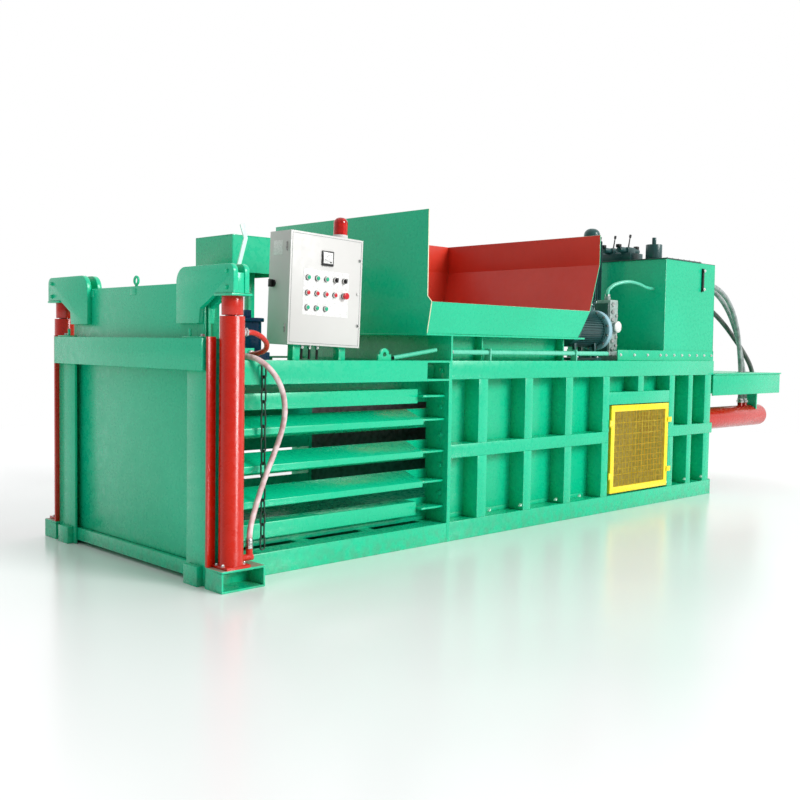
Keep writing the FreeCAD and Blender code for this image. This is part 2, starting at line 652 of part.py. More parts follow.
# ---- Gate ----
def gate_panel():
    x0 = GATE_X - GATE_T / 2
    x1 = GATE_X + GATE_T / 2
    half = GATE_W / 2
    inner0 = x0 + GATE_SKIN
    inner1 = x1 - GATE_SKIN
    shapes = [block(x0, inner0, -half, half, GATE_Z0, GATE_TOP),
              block(inner1, x1, -half, half, GATE_Z0, GATE_TOP)]
    for k in range(GATE_BARS):
        z = GATE_Z0 + k * (GATE_TOP - GATE_Z0 - GATE_SKIN) / (GATE_BARS - 1)
        shapes.append(block(inner0, inner1, -half, half, z, z + GATE_SKIN))
    eye_z = GATE_TOP + 42
    ring = Part.makeTorus(27, 9, V(GATE_X, 0, eye_z), V(1, 0, 0))
    shank = cylinder(11, (GATE_X, 0, GATE_TOP), (GATE_X, 0, GATE_TOP + 18))
    shapes.append(ring.fuse(shank).removeSplitter())
    return shapes


def hook_outline(x):
    """One hook plate, seen along X: it grips the gate's top corner and reaches out over the cylinder."""
    inner_r = 100.0
    outer_r = 50.0
    throat_h = 90.0
    y_in, y_out, top, low = HOOK_IN, HOOK_OUT, HOOK_TOP, HOOK_LOW
    rest = SLEEVE_TOP + CAP_T
    reach = GATE_W / 2

    def arc_mid(cy, cz, radius, degrees):
        angle = math.radians(degrees)
        return V(x, cy + radius * math.cos(angle), cz + radius * math.sin(angle))

    edges = [Part.LineSegment(V(x, y_in, low), V(x, y_in, top - inner_r)),
             Part.Arc(V(x, y_in, top - inner_r), arc_mid(y_in + inner_r, top - inner_r, inner_r, 135),
                      V(x, y_in + inner_r, top)),
             Part.LineSegment(V(x, y_in + inner_r, top), V(x, y_out - outer_r, top)),
             Part.Arc(V(x, y_out - outer_r, top), arc_mid(y_out - outer_r, top - outer_r, outer_r, 45),
                      V(x, y_out, top - outer_r)),
             Part.LineSegment(V(x, y_out, top - outer_r), V(x, y_out, rest)),
             Part.LineSegment(V(x, y_out, rest), V(x, LIFT_Y - LIFT_R, rest)),
             Part.LineSegment(V(x, LIFT_Y - LIFT_R, rest), V(x, reach, rest - throat_h)),
             Part.LineSegment(V(x, reach, rest - throat_h), V(x, reach - 10, low)),
             Part.LineSegment(V(x, reach - 10, low), V(x, y_in, low))]
    return Part.Face(Part.Wire([e.toShape() for e in edges]))


def gate_hooks():
    """Two hook plates at each end, the cap plate they rest on, and the near hook's striker bar."""
    x0 = GATE_X - GATE_T / 2
    x1 = GATE_X + GATE_T / 2
    front = hook_outline(x0 - HOOK_T).extrude(V(HOOK_T, 0, 0))
    back = hook_outline(x1).extrude(V(HOOK_T, 0, 0))
    cap = block(x0 - HOOK_T - 8, LIFT_X + SLEEVE_R, LIFT_Y - LIFT_R, HOOK_OUT - 5, SLEEVE_TOP,
                SLEEVE_TOP + CAP_T)
    web = block(x0, x1, HOOK_OUT - 26, HOOK_OUT - 6, SLEEVE_TOP + CAP_T, HOOK_TOP - 55)
    bar_x = x1 + HOOK_T
    y = -HOOK_OUT + 160
    bar_t = 12.0
    knee = HOOK_TOP + 178
    lower = prism([(bar_x, y, HOOK_TOP - 60), (bar_x + 30, y, HOOK_TOP - 60), (bar_x + 100, y, knee),
                   (bar_x + 70, y, knee)], (0, bar_t, 0))
    upper = prism([(bar_x + 70, y, knee), (bar_x + 100, y, knee), (bar_x + 75, y, knee + 90),
                   (bar_x + 40, y, knee + 80)], (0, bar_t, 0))
    return pair([front, back, cap, web]) + [lower, upper]


def lift_rods():
    x, y = LIFT_X, LIFT_Y
    piston_z = FOOT_H + 60
    piston = cylinder(LIFT_BORE - SEAL_GAP, (x, y, piston_z), (x, y, piston_z + 60))
    rod = cylinder(LIFT_ROD, (x, y, piston_z + 60), (x, y, LIFT_TOP + SLEEVE_GAP))
    sleeve = cylinder(SLEEVE_R, (x, y, LIFT_TOP + SLEEVE_GAP), (x, y, SLEEVE_TOP))
    return pair([piston.fuse([rod, sleeve]).removeSplitter()])


# ---- Ram ----
def ram_body():
    half = INNER_Y - RUN_GAP
    z0 = FLOOR_Z + 1
    z1 = ROOF_Z - RUN_GAP
    x0 = RAM_BACK
    x1 = RAM_BACK + RAM_LEN
    shapes = [block(x0, x0 + RAM_FACE_T, -half, half, z0, z1),
              block(x0 + RAM_FACE_T, x1, -half, half, z1 - RAM_WALL, z1),
              block(x0 + RAM_FACE_T, x1, -half, half, z0, z0 + RAM_WALL),
              block(x1 - RAM_WALL, x1, -half, half, z0 + RAM_WALL, z1 - RAM_WALL),
              block(x1, x1 + APRON_L, -half + APRON_IN, half - APRON_IN, z1 - PLATE, z1)]
    for y in (-half + RAM_WALL, -RAM_WEB_Y, RAM_WEB_Y, half):
        shapes.append(block(x0 + RAM_FACE_T, x1 - RAM_WALL, y - RAM_WALL, y, z0 + RAM_WALL, z1 - RAM_WALL))
    return shapes


def main_barrels():
    y, z = MAIN_Y, MAIN_Z
    cap_l = 20.0
    barrel = cylinder(MAIN_R, (MAIN_X0, y, z), (MAIN_X1 - cap_l, y, z))
    end = cylinder(MAIN_R - cap_l, (MAIN_X1 - cap_l, y, z), (MAIN_X1, y, z))
    ports = [cylinder(MAIN_PORT_R, (MAIN_X0 + x, y, z), (MAIN_X0 + x, y, z + MAIN_R + MAIN_PORT_H))
             for x in MAIN_PORTS]
    barrel = barrel.fuse([end] + ports)
    bore = cylinder(MAIN_BORE, (MAIN_X0 + HEAD, y, z), (MAIN_X1 - HEAD, y, z))
    gland = cylinder(MAIN_ROD + SEAL_GAP, (MAIN_X0 - 1, y, z), (MAIN_X0 + HEAD + 1, y, z))
    return pair([barrel.cut(bore.fuse(gland)).removeSplitter()])


def ram_rods():
    y, z = MAIN_Y, MAIN_Z
    start = RAM_BACK + RAM_LEN
    piston_x = MAIN_X1 - HEAD - 130
    rod = cylinder(MAIN_ROD, (start, y, z), (piston_x, y, z))
    piston = cylinder(MAIN_BORE - SEAL_GAP, (piston_x, y, z), (piston_x + 100, y, z))
    foot = cylinder(MAIN_ROD + 30, (start, y, z), (start + 40, y, z))
    return pair([rod.fuse([piston, foot]).removeSplitter()])


# ---- Power pack ----
def oil_tank():
    """Welded tank on a skirt, with a base rail that runs on past the pump set."""
    x0, x1 = TANK_X, TANK_X + TANK_L
    y0, y1 = TANK_Y, TANK_Y + TANK_W
    t = TANK_T
    z0 = DECK_Z
    skirt = z0 + SKIRT_H
    return [block(x0, x0 + t, y0, y1, z0, TANK_TOP), block(x1 - t, x1, y0, y1, z0, TANK_TOP),
            block(x0 + t, x1 - t, y0, y0 + t, z0, TANK_TOP), block(x0 + t, x1 - t, y1 - t, y1, z0, TANK_TOP),
            block(x0 + t, x1 - t, y0 + t, y1 - t, skirt - t, skirt),
            block(x0 - t, x0, y0 - t, y1 + t, z0, skirt), block(x1, x1 + t, y0 - t, y1 + t, z0, skirt),
            block(x0, x1, y0 - t, y0, z0, skirt), block(x0, x1, y1, y1 + t, z0, skirt),
            block(x0 - RAIL_START, x0 - t, y0 - t, y0, z0, skirt),
            block(x0 - RAIL_START, x0 - t, y0, y0 + RAIL_D, skirt - t, skirt)]


def tank_lid():
    cover_x = TANK_X + LID_L
    return [block(TANK_X - 10, cover_x, TANK_Y - 10, TANK_Y + TANK_W + 10, TANK_TOP, TANK_TOP + LID_T),
            block(cover_x, TANK_X + TANK_L, TANK_Y, TANK_Y + TANK_W, TANK_TOP, TANK_TOP + 3)]


def level_gauge():
    x = TANK_X + GAUGE_X
    y = TANK_Y
    z0, z1 = TANK_TOP - GAUGE_Z[0], TANK_TOP - GAUGE_Z[1]
    half, depth, bolt_l, bolt_in = 14.0, 18.0, 12.0, 25.0
    bar = block(x - half, x + half, y - depth, y, z0, z1)
    bolts = [cylinder(11, (x, y - depth - bolt_l, z), (x, y - depth, z))
             for z in (z0 + bolt_in, z1 - bolt_in)]
    return [bar.fuse(bolts).removeSplitter()]


def pump_motor():
    """Lying motor on its foot, with the terminal box and the flange that carries the pump."""
    y, z = MOTOR_Y, MOTOR_Z
    x0, x1 = MOTOR
    box_half, box_h, foot_half = 60.0, 80.0, 140.0
    frame = cylinder(MOTOR_R, (x0, y, z), (x1, y, z))
    box = block(x0 + 100, x1 - 80, y - box_half, y + box_half, z + MOTOR_R - 12, z + MOTOR_R + box_h)
    foot = block(x0 + 60, x1 - 40, y - foot_half, y + foot_half, DECK_Z, z - MOTOR_R + 25)
    return [frame, cylinder(MOTOR_FLANGE_R, (x1, y, z), (PUMP_X, y, z)), box.cut(frame), foot.cut(frame)]


def hydraulic_pump():
    """Pump, the upright manifold on its end with a test boss and a pipe stub, and their foot."""
    y, z = MOTOR_Y, MOTOR_Z
    x1 = PUMP_END + MANIFOLD_L
    foot_in, foot_half = 20.0, 130.0
    half = MANIFOLD_W / 2
    low, high = DECK_Z + MANIFOLD_Z[0], DECK_Z + MANIFOLD_Z[1]
    boss_x = (PUMP_END + x1) / 2
    return [cylinder(PUMP_R, (PUMP_X, y, z), (PUMP_END, y, z)),
            block(PUMP_END, x1, y - half, y + half, low, high),
            block(PUMP_END - foot_in, x1 + foot_in, y - foot_half, y + foot_half, DECK_Z, low),
            cylinder(50, (boss_x + 20, y - half - 30, z + 40), (boss_x + 20, y - half, z + 40)),
            cylinder(30, (boss_x, y, high), (boss_x, y, high + 35))]


def standby_motor():
    """Upright motor on its bell housing and base plate."""
    x, y = TANK_X - STANDBY_X, STANDBY_Y
    z = DECK_Z
    base_t, bell_top, flange_t, dome_h = 40.0, 560.0, 40.0, 105.0
    plate = STANDBY_R + 60
    dome_z = z + STANDBY_TOP - dome_h
    dome = cylinder(STANDBY_R - 15, (x, y, dome_z), (x, y, dome_z + dome_h))
    rim = [e for e in dome.Edges if abs(e.BoundBox.ZMin - (dome_z + dome_h)) < 1 and e.Length > STANDBY_R]
    return [block(x - plate, x + plate, y - plate, y + plate, z, z + base_t),
            cylinder(STANDBY_R - 20, (x, y, z + base_t), (x, y, z + bell_top)),
            cylinder(STANDBY_R + 20, (x, y, z + bell_top), (x, y, z + bell_top + flange_t)),
            cylinder(STANDBY_R, (x, y, z + bell_top + flange_t), (x, y, dome_z)),
            dome.makeFillet(0.7 * STANDBY_R, rim)]


def valve_block():
    """Valve bank and filter on the tank's lid."""
    x = TANK_X + 80
    y = TANK_Y + 480
    z = TANK_TOP + LID_T
    deck_l, deck_w, deck_h = 240.0, 600.0, 85.0
    body_h, coil_r, pitch = 65.0, 32.0, 190.0
    shapes = [block(x, x + deck_l, y, y + deck_w, z, z + deck_h)]
    for k in range(3):
        valve_y = y + 60 + pitch * k
        coil_y, coil_z = valve_y + 45, z + deck_h + coil_r + 1
        shapes.append(block(x + 50, x + 190, valve_y, valve_y + 90, z + deck_h, z + deck_h + body_h))
        shapes.append(cylinder(coil_r, (x + 190, coil_y, coil_z), (x + 300, coil_y, coil_z)))
        shapes.append(cylinder(coil_r, (x - 60, coil_y, coil_z), (x + 50, coil_y, coil_z)))
    filter_x, filter_y, filter_h = x + 150, y - 190, 165.0
    shapes.append(cylinder(85, (filter_x, filter_y, z), (filter_x, filter_y, z + filter_h)))
    shapes.append(cylinder(22, (filter_x, filter_y, z + filter_h), (filter_x, filter_y, z + filter_h + 75)))
    return shapes


# Pipes: hand-laid routes from the pieces they join.
DECK_PIPE = from_base((0, -HALF, DECK_Z), [(20, 45, 67), (2220, 45, 67)])
ROOF_PIPE = from_base((0, -HALF, DECK_Z), [(-560, 100, 18), (-90, 100, 82)])
PIPE_CLAMPS = [474.0, 1676.0]
SUCTION = from_base((PUMP_END + MANIFOLD_L / 2, MOTOR_Y, DECK_Z + MANIFOLD_Z[1] + 35),
                    [(0, 0, 0), (0, 0, 62), (62, -22, 118), (165, -52, 150), (290, -84, 162),
                     (420, -104, 140), (530, -110, 110)])
SUCTION.append((TANK_X, MOTOR_Y - 110, DECK_Z + 740))
PORT_PIPE = from_base((-CHAMBER_L, HALF, DECK_Z),
                      [(82, 138, 158), (152, 105, 116), (190, 45, 70), (180, -40, 42), (176, -114, 42)])
PORT_PIPE = from_base((LIFT_X + LIFT_R + 25, LIFT_Y, LIFT_TOP - PORT_DROP), [(0, 0, 0), (60, 0, 0)]) + PORT_PIPE
# Hoses: their points stay as laid.
NEAR_HOSE = [(-1975, -885, 1480), (-1975, -965, 1480), (-1935, -1048, 1464), (-1878, -1100, 1408),
             (-1810, -1116, 1322), (-1758, -1112, 1210), (-1742, -1102, 1085), (-1770, -1094, 960),
             (-1830, -1094, 825), (-1905, -1100, 680), (-1970, -1112, 540), (-2025, -1132, 430),
             (-2060, -1150, 340), (-2060, -1150, 250)]
UPPER_HOSE = [(4240, -640, 2330), (4430, -640, 2330), (4630, -640, 2325), (4825, -640, 2296),
              (5005, -640, 2236), (5160, -640, 2142), (5285, -640, 2016), (5375, -640, 1868),
              (5436, -640, 1706), (5480, -640, 1530), (5516, -640, 1340), (5530, -640, 1140),
              (5530, -640, 940)]
MIDDLE_HOSE = [(4241, -520, 2330), (4430, -520, 2331), (4640, -520, 2330), (4850, -520, 2308),
               (5045, -522, 2250), (5215, -530, 2156), (5350, -545, 2030), (5447, -565, 1880),
               (5512, -590, 1715), (5560, -612, 1535), (5600, -630, 1340), (5628, -640, 1140),
               (5640, -640, 1040), (5640, -640, 940)]
LOWER_HOSE = [(4240, -440, 2170), (4430, -440, 2170), (4640, -440, 2160), (4837, -440, 2126),
              (5010, -443, 2076), (5170, -449, 2010), (5313, -458, 1935), (5446, -472, 1848),
              (5563, -495, 1745), (5670, -530, 1632), (5760, -571, 1510), (5824, -610, 1385),
              (5857, -633, 1255), (5860, -640, 1120), (5857, -640, 1030), (5857, -640, 940)]


def oil_pipes():
    """Deck pipe in two upright brackets, loose roof pipe and the pipe from the pump to the tank."""
    bracket_t, bracket_h, half = 14.0, 100.0, 32.0
    y = DECK_PIPE[0][1]
    deck = tube("deck pipe", DECK_PIPE, DECK_PIPE_D)
    brackets = [block(x, x + bracket_t, y - half, y + half, DECK_Z, DECK_Z + bracket_h).cut(deck)
                for x in PIPE_CLAMPS]
    return [deck, tube("roof pipe", ROOF_PIPE, PIPE_D), tube("suction pipe", SUCTION, PIPE_D)] + brackets


def port_pipes():
    return pair([tube("port pipe", PORT_PIPE, PIPE_D)])


def safety_chain():
    """Long-link chain hanging from the near deck edge, every other link turned a quarter."""
    r = CHAIN_W / 2 - CHAIN_WIRE
    straight = CHAIN_PITCH + 2 * CHAIN_WIRE + 0.5 - 2 * r
    x, y = -CHAMBER_L + CHAIN_X, -HALF - CHAIN_W / 2 - 4
    top = DECK_Z - CHAIN_DROP
    reach = CHAIN_W
    links = []
    for k in range(CHAIN_LINKS):
        z = top - CHAIN_PITCH * k
        low_z = z - straight
        upper = Part.makeTorus(r, CHAIN_WIRE, V(x, y, z), V(0, 1, 0), 0, 360)
        upper = upper.common(block(x - reach, x + reach, y - reach, y + reach, z, z + reach))
        lower = Part.makeTorus(r, CHAIN_WIRE, V(x, y, low_z), V(0, 1, 0), 0, 360)
        lower = lower.common(block(x - reach, x + reach, y - reach, y + reach, low_z - reach, low_z))
        sides = [cylinder(CHAIN_WIRE, (x + s * r, y, low_z), (x + s * r, y, z)) for s in (-1, 1)]
        link = upper.fuse([lower] + sides).removeSplitter()
        if k % 2:
            link.rotate(V(x, y, 0), V(0, 0, 1), 90)
        links.append(link)
    return links


def valve_hood():
    """Sheet hood on two legs over the gate valve."""
    x0, x1 = -CHAMBER_L + HOOD_X[0], -CHAMBER_L + HOOD_X[1]
    y0, y1 = HOOD_Y
    z0, z1 = DECK_Z + HOOD_Z[0], DECK_Z + HOOD_Z[1]
    t, leg, leg_in = 6.0, 60.0, 120.0
    shapes = [block(x0, x1, y0, y1, z1 - t, z1),
              block(x0, x0 + t, y0, y1, z0, z1 - t), block(x1 - t, x1, y0, y1, z0, z1 - t),
              block(x0 + t, x1 - t, y0, y0 + t, z0, z1 - t), block(x0 + t, x1 - t, y1 - t, y1, z0, z1 - t)]
    for x in (x0 + leg_in, x1 - leg_in):
        shapes.append(block(x, x + leg, y1 - t - leg, y1 - t, ROOF_Z + PLATE, z1 - t))
    return shapes


def gate_valve():
    """Valve body, its solenoid tower and cap, and a pilot stem."""
    x, y = -CHAMBER_L + VALVE_X, HOOD_Y[0]
    z = ROOF_Z + PLATE
    half_x, half_y, body_h, tower_h, cap_t = 110.0, 90.0, 190.0, 230.0, 30.0
    cap_z = z + body_h + tower_h
    return [block(x - half_x, x + half_x, y - half_y, y + half_y, z, z + body_h),
            cylinder(75, (x, y, z + body_h), (x, y, cap_z)),
            cylinder(95, (x, y, cap_z), (x, y, cap_z + cap_t)),
            cylinder(30, (x - 40, y, cap_z + cap_t), (x - 40, y, cap_z + cap_t + 60))]


# ---- Control cabinet ----
def cabinet_case():
    x0, x1 = CAB_X, CAB_X + CAB_W
    y0, y1 = CAB_Y + CAB_DOOR_T + 1, CAB_Y + CAB_DEPTH
    z0, z1 = CAB_Z, CAB_Z + CAB_H
    t = CAB_SHEET
    shapes = [block(x0, x0 + t, y0, y1, z0, z1), block(x1 - t, x1, y0, y1, z0, z1),
              block(x0 + t, x1 - t, y0, y1, z0, z0 + t), block(x0 + t, x1 - t, y0, y1, z1 - t, z1),
              block(x0 + t, x1 - t, y1 - t, y1, z0 + t, z1 - t),
              block(x0 + 50, x1 - 50, y1 - 25, y1 - 22, z0 + 50, z1 - 50)]
    for x in (x0 + 80, x1 - 80):
        for z in (z0 + 80, z1 - 80):
            shapes.append(cylinder(8, (x, y1 - 22, z), (x, y1 - t, z)))
    beacon_x, beacon_y = beacon_place()
    shapes.append(cylinder(BEACON_R + 4, (beacon_x, beacon_y, z1), (beacon_x, beacon_y, z1 + BEACON_BASE)))
    shapes = tilted(shapes)
    ground = block(x0 - 100, x1 + 100, y0 - 100, y1 + 100, 0, DECK_Z)
    foot, foot_in, sunk = 60.0, 90.0, 60.0
    foot_y = -WALL_Y - foot
    for x in (x0 + foot_in, x1 - foot_in - foot):
        leg = tilted([block(x, x + foot, foot_y, foot_y + foot, DECK_Z - sunk, z0)])[0]
        shapes.append(leg.cut(ground))
    return shapes


def beacon_place():
    return CAB_X + CAB_W - BEACON_IN, CAB_Y + CAB_DOOR_T + 81


def beacon_lens():
    x, y = beacon_place()
    z = CAB_Z + CAB_H + BEACON_BASE
    lens = cylinder(BEACON_R, (x, y, z), (x, y, z + BEACON_H))
    rim = [e for e in lens.Edges if abs(e.BoundBox.ZMin - (z + BEACON_H)) < 1 and e.Length > BEACON_R]
    return tilted([lens.makeFillet(0.8 * BEACON_R, rim)])


def on_door(column, row):
    """Centre of a control on the cabinet door, from its share of the door's width and height."""
    return CAB_X + column * CAB_W, CAB_Z + (1 - row) * CAB_H


def control_places():
    """Name, kind and centre of each control, row by row."""
    kinds = [["green", "green", "green", "selector", "selector"], ["red", "red", "red", "red", "stop"],
             ["green", "green", "green"]]
    count = {}
    places = []
    for row, names in zip(ROWS, kinds):
        for column, kind in zip(COLUMNS, names):
            count[kind] = count.get(kind, 0) + 1
            places.append((kind, count[kind]) + on_door(column, row))
    return places


def cabinet_door():
    x0, x1 = CAB_X, CAB_X + CAB_W
    y0, y1 = CAB_Y, CAB_Y + CAB_DOOR_T
    z0, z1 = CAB_Z, CAB_Z + CAB_H
    t = CAB_SHEET
    shapes = [block(x0, x1, y0, y0 + t, z0, z1),
              block(x0, x0 + t, y0 + t, y1, z0, z1), block(x1 - t, x1, y0 + t, y1, z0, z1),
              block(x0 + t, x1 - t, y0 + t, y1, z0, z0 + t), block(x0 + t, x1 - t, y0 + t, y1, z1 - t, z1)]
    for _, _, x, z in control_places():
        ring = cylinder(BUTTON_R + BEZEL_RIM, (x, y0 - BEZEL_L, z), (x, y0, z))
        shapes.append(ring.cut(cylinder(BUTTON_R + FIT_GAP, (x, y0 - BEZEL_L - 1, z), (x, y0, z))))
    lock_x = x1 - 35
    lock_z = (z0 + z1) / 2
    shapes.append(cylinder(12, (lock_x, y0 - 6, lock_z), (lock_x, y0, lock_z)))
    return tilted(shapes)


def panel_meter():
    x, z = on_door(*METER_PLACE)
    half = METER_W / 2
    depth = 12.0
    return tilted([block(x - half, x + half, CAB_Y - depth, CAB_Y, z - half, z + half)])


def push_button(x, z):
    y0 = CAB_Y - BUTTON_TRAVEL - 1
    return tilted([cylinder(BUTTON_R, (x, y0 - BEZEL_L + 1, z), (x, y0, z))])


def stop_button(x, z):
    y0 = CAB_Y - BUTTON_TRAVEL - 1
    y1 = CAB_Y - BEZEL_L - BUTTON_TRAVEL - 2
    stem = cylinder(BUTTON_R, (x, y1, z), (x, y0, z))
    return tilted([stem.fuse(cylinder(24, (x, y1 - 18, z), (x, y1, z))).removeSplitter()])


def selector_knob(x, z):
    y1 = CAB_Y - BEZEL_L - 2
    stem = cylinder(BUTTON_R, (x, y1, z), (x, CAB_Y - 1, z))
    handle = block(x - 6, x + 6, y1 - 16, y1, z - 16, z + 16)
    return tilted([stem.fuse(handle).removeSplitter()])


def main_switch():
    x = CAB_X
    y = CAB_Y + CAB_DEPTH - 55
    z = CAB_Z + 420
    base = cylinder(26, (x - 12, y, z), (x - 1, y, z))
    handle = block(x - 40, x - 12, y - 9, y + 9, z - 26, z + 26)
    return tilted([base.fuse(handle).removeSplitter()])


# ---- Net door ----
def net_door():
    x0 = DOOR_X0 + DOOR_GAP_LEFT
    x1 = DOOR_X1 - DOOR_GAP
    z0 = BEAM_H + 2 * DOOR_GAP
    z1 = LINTEL_Z - DOOR_GAP
    y0 = -HALF
    y1 = -HALF + DOOR_T
    bar = DOOR_BAR
    frame = [block(x0, x1, y0, y1, z0, z0 + bar), block(x0, x1, y0, y1, z1 - bar, z1),
             block(x0, x0 + bar, y0, y1, z0, z1), block(x1 - bar, x1, y0, y1, z0, z1)]
    net_y = (y0 + y1) / 2
    across = int((x1 - x0 - 2 * bar) / NET_PITCH)
    up = int((z1 - z0 - 2 * bar) / NET_PITCH)
    for k in range(1, across + 1):
        x = x0 + bar + k * (x1 - x0 - 2 * bar) / (across + 1)
        frame.append(block(x - NET_BAR / 2, x + NET_BAR / 2, net_y, net_y + NET_BAR, z0 + bar / 2,
                           z1 - bar / 2))
    for k in range(1, up + 1):
        z = z0 + bar + k * (z1 - z0 - 2 * bar) / (up + 1)
        frame.append(block(x0 + bar / 2, x1 - bar / 2, net_y, net_y + NET_BAR, z - NET_BAR / 2,
                           z + NET_BAR / 2))
    pin_x, pin_y = hinge_axis()
    for z in (z1 - 170, z0 + 170):
        frame.append(cylinder(HINGE_R, (pin_x, pin_y, z - 35), (pin_x, pin_y, z + 35)))
        frame.append(block(pin_x, x0 + 30, y0 - 10, y0, z - 25, z + 25))
        frame.append(block(x1 - 20, x1 + 50, y0 - 10, y0, z - 25, z + 25))
    return [frame[0].fuse(frame[1:]).removeSplitter()]


def hinge_axis():
    return DOOR_X0 + HINGE_R, -HALF - HINGE_R - 1


# ---- Build and save ----
def nodes():
    parts = {
        "chamber_floor": chamber_floor, "chamber_sides": chamber_sides, "chamber_roof": chamber_roof,
        "joint_flange": joint_flange, "flange_bolts": flange_bolts,
        "press_floor": press_floor, "press_sides": press_sides, "press_deck": press_deck,
        "ram_guides": ram_guides, "rear_bulkhead": rear_bulkhead, "tail_frame": tail_frame,
        "hopper_base": hopper_base, "hopper": hopper,
        "gate_posts": gate_posts, "guide_rails": guide_rails, "cross_beam": cross_beam,
        "cylinder_feet": cylinder_feet, "lift_barrels": lift_barrels, "main_barrels": main_barrels,
        "oil_tank": oil_tank, "tank_lid": tank_lid, "level_gauge": level_gauge,
        "pump_motor": pump_motor, "hydraulic_pump": hydraulic_pump, "standby_motor": standby_motor,
        "valve_block": valve_block, "oil_pipes": oil_pipes, "port_pipes": port_pipes,
        "safety_chain": safety_chain, "valve_hood": valve_hood, "gate_valve": gate_valve,
        "cabinet_case": cabinet_case, "beacon_lens": beacon_lens,
        "gate_panel": gate_panel, "gate_hooks": gate_hooks, "lift_rods": lift_rods,
        "ram_body": ram_body, "ram_rods": ram_rods,
        "cabinet_door": cabinet_door, "panel_meter": panel_meter, "main_switch": main_switch,
        "net_door": net_door,
    }
    shapes = {name: make() for name, make in parts.items()}
    shapes["lift_hose_near"] = [tube("near lift hose", NEAR_HOSE, LIFT_HOSE_D)]
    far = [(x, -y, z) for x, y, z in NEAR_HOSE]
    shapes["lift_hose_far"] = [tube("far lift hose", far, LIFT_HOSE_D)]
    shapes["tank_hose_upper"] = [tube("upper tank hose", UPPER_HOSE, HOSE_D)]
    shapes["tank_hose_middle"] = [tube("middle tank hose", MIDDLE_HOSE, HOSE_D)]
    shapes["tank_hose_lower"] = [tube("lower tank hose", LOWER_HOSE, HOSE_D)]
    for kind, number, x, z in control_places():
        if kind == "stop":
            shapes["stop_button"] = stop_button(x, z)
        elif kind == "selector":
            shapes["selector_%d" % number] = selector_knob(x, z)
        else:
            shapes["%s_button_%d" % (kind, number)] = push_button(x, z)
    return shapes


def save(name, shapes):
    shape = shapes[0] if len(shapes) == 1 else Part.makeCompound(shapes)
    shape.translate(V(MOVE_X, 0, 0))
    shape.exportStep("parts/%s.step" % name)


os.makedirs("parts", exist_ok=True)
for node, solids in nodes().items():
    save(node, solids)
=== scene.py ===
"""Looks for the horizontal recycling baler: enamelled plate frame, red cylinders and hopper, power pack,
control cabinet, hoses and chain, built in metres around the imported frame.
"""
import json
import math
import bpy
import bmesh
from mathutils import Matrix, Vector


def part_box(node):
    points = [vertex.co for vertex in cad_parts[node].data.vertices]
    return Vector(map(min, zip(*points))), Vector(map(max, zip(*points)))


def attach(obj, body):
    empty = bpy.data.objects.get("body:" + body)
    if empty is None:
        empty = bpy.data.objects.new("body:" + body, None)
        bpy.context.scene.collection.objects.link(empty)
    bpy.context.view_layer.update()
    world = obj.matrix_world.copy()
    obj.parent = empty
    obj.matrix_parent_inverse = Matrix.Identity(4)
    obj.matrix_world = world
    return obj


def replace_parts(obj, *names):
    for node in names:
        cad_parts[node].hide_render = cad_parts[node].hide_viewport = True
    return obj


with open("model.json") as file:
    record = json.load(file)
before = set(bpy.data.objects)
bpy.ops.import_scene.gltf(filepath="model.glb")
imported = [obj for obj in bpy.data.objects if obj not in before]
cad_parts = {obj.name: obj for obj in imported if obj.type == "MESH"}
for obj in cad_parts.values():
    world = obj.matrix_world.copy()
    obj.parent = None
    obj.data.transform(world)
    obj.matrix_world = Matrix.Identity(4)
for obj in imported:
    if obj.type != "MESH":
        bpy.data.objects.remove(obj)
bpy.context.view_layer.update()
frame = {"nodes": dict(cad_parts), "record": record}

MM = 0.001
JOINT_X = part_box("joint_flange")[1].x      # joint between bale chamber and press section
TILT_CENTRE = (-1270, 0, 1940)             # the control cabinet hangs two degrees out of upright
TILT = math.radians(2.0)
LIFT_X, LIFT_Y = -2202, 1150               # axis of the near and far lifting cylinders
MOTOR_Y, MOTOR_Z = -700, 1740              # axis of the lying motor
MOTOR_X = (1830, 2330)
STANDBY = (2995, -200)                     # axis of the upright motor
CABINET_LEFT, CABINET_TOP, CABINET_FRONT = -1600, 2330, -950
COLUMNS = (0.238, 0.364, 0.490, 0.614, 0.740)           # controls, as shares of the door's width and height
ROWS = ((0.398, COLUMNS), (0.533, COLUMNS), (0.665, COLUMNS[:3]))


def at(x, y, z):
    """A point given in millimetres from the joint, the centreline and the ground."""
    return Vector((x * MM + JOINT_X, y * MM, z * MM))


# ---------------------------------------------------------------- camera, light and floor

def place_camera():
    yaw, pitch, roll = (math.radians(a) for a in (44.288, -3.144, 0.918))
    forward = Vector((math.sin(yaw) * math.cos(pitch), math.cos(yaw) * math.cos(pitch), math.sin(pitch)))
    level = Vector((math.cos(yaw), -math.sin(yaw), 0))
    rise = level.cross(forward)
    right = level * math.cos(roll) + rise * math.sin(roll)
    up = rise * math.cos(roll) - level * math.sin(roll)
    data = bpy.data.cameras.new("camera")
    data.lens = 44.61
    data.sensor_width = 36.0
    data.clip_end = 200.0
    camera = bpy.data.objects.new("camera", data)
    camera.matrix_world = Matrix((
        (right.x, up.x, -forward.x, -7.6185),
        (right.y, up.y, -forward.y, -6.351),
        (right.z, up.z, -forward.z, 1.563),
        (0, 0, 0, 1)))
    bpy.context.scene.collection.objects.link(camera)
    bpy.context.scene.camera = camera


def add_light(name, kind, energy, place, target, size=1.0, angle=20.0):
    data = bpy.data.lights.new(name, kind)
    data.energy = energy
    if kind == "SUN":
        data.angle = math.radians(angle)
    else:
        data.size = size
    light = bpy.data.objects.new(name, data)
    light.location = place
    light.rotation_euler = (Vector(target) - Vector(place)).to_track_quat("-Z", "Y").to_euler()
    bpy.context.scene.collection.objects.link(light)


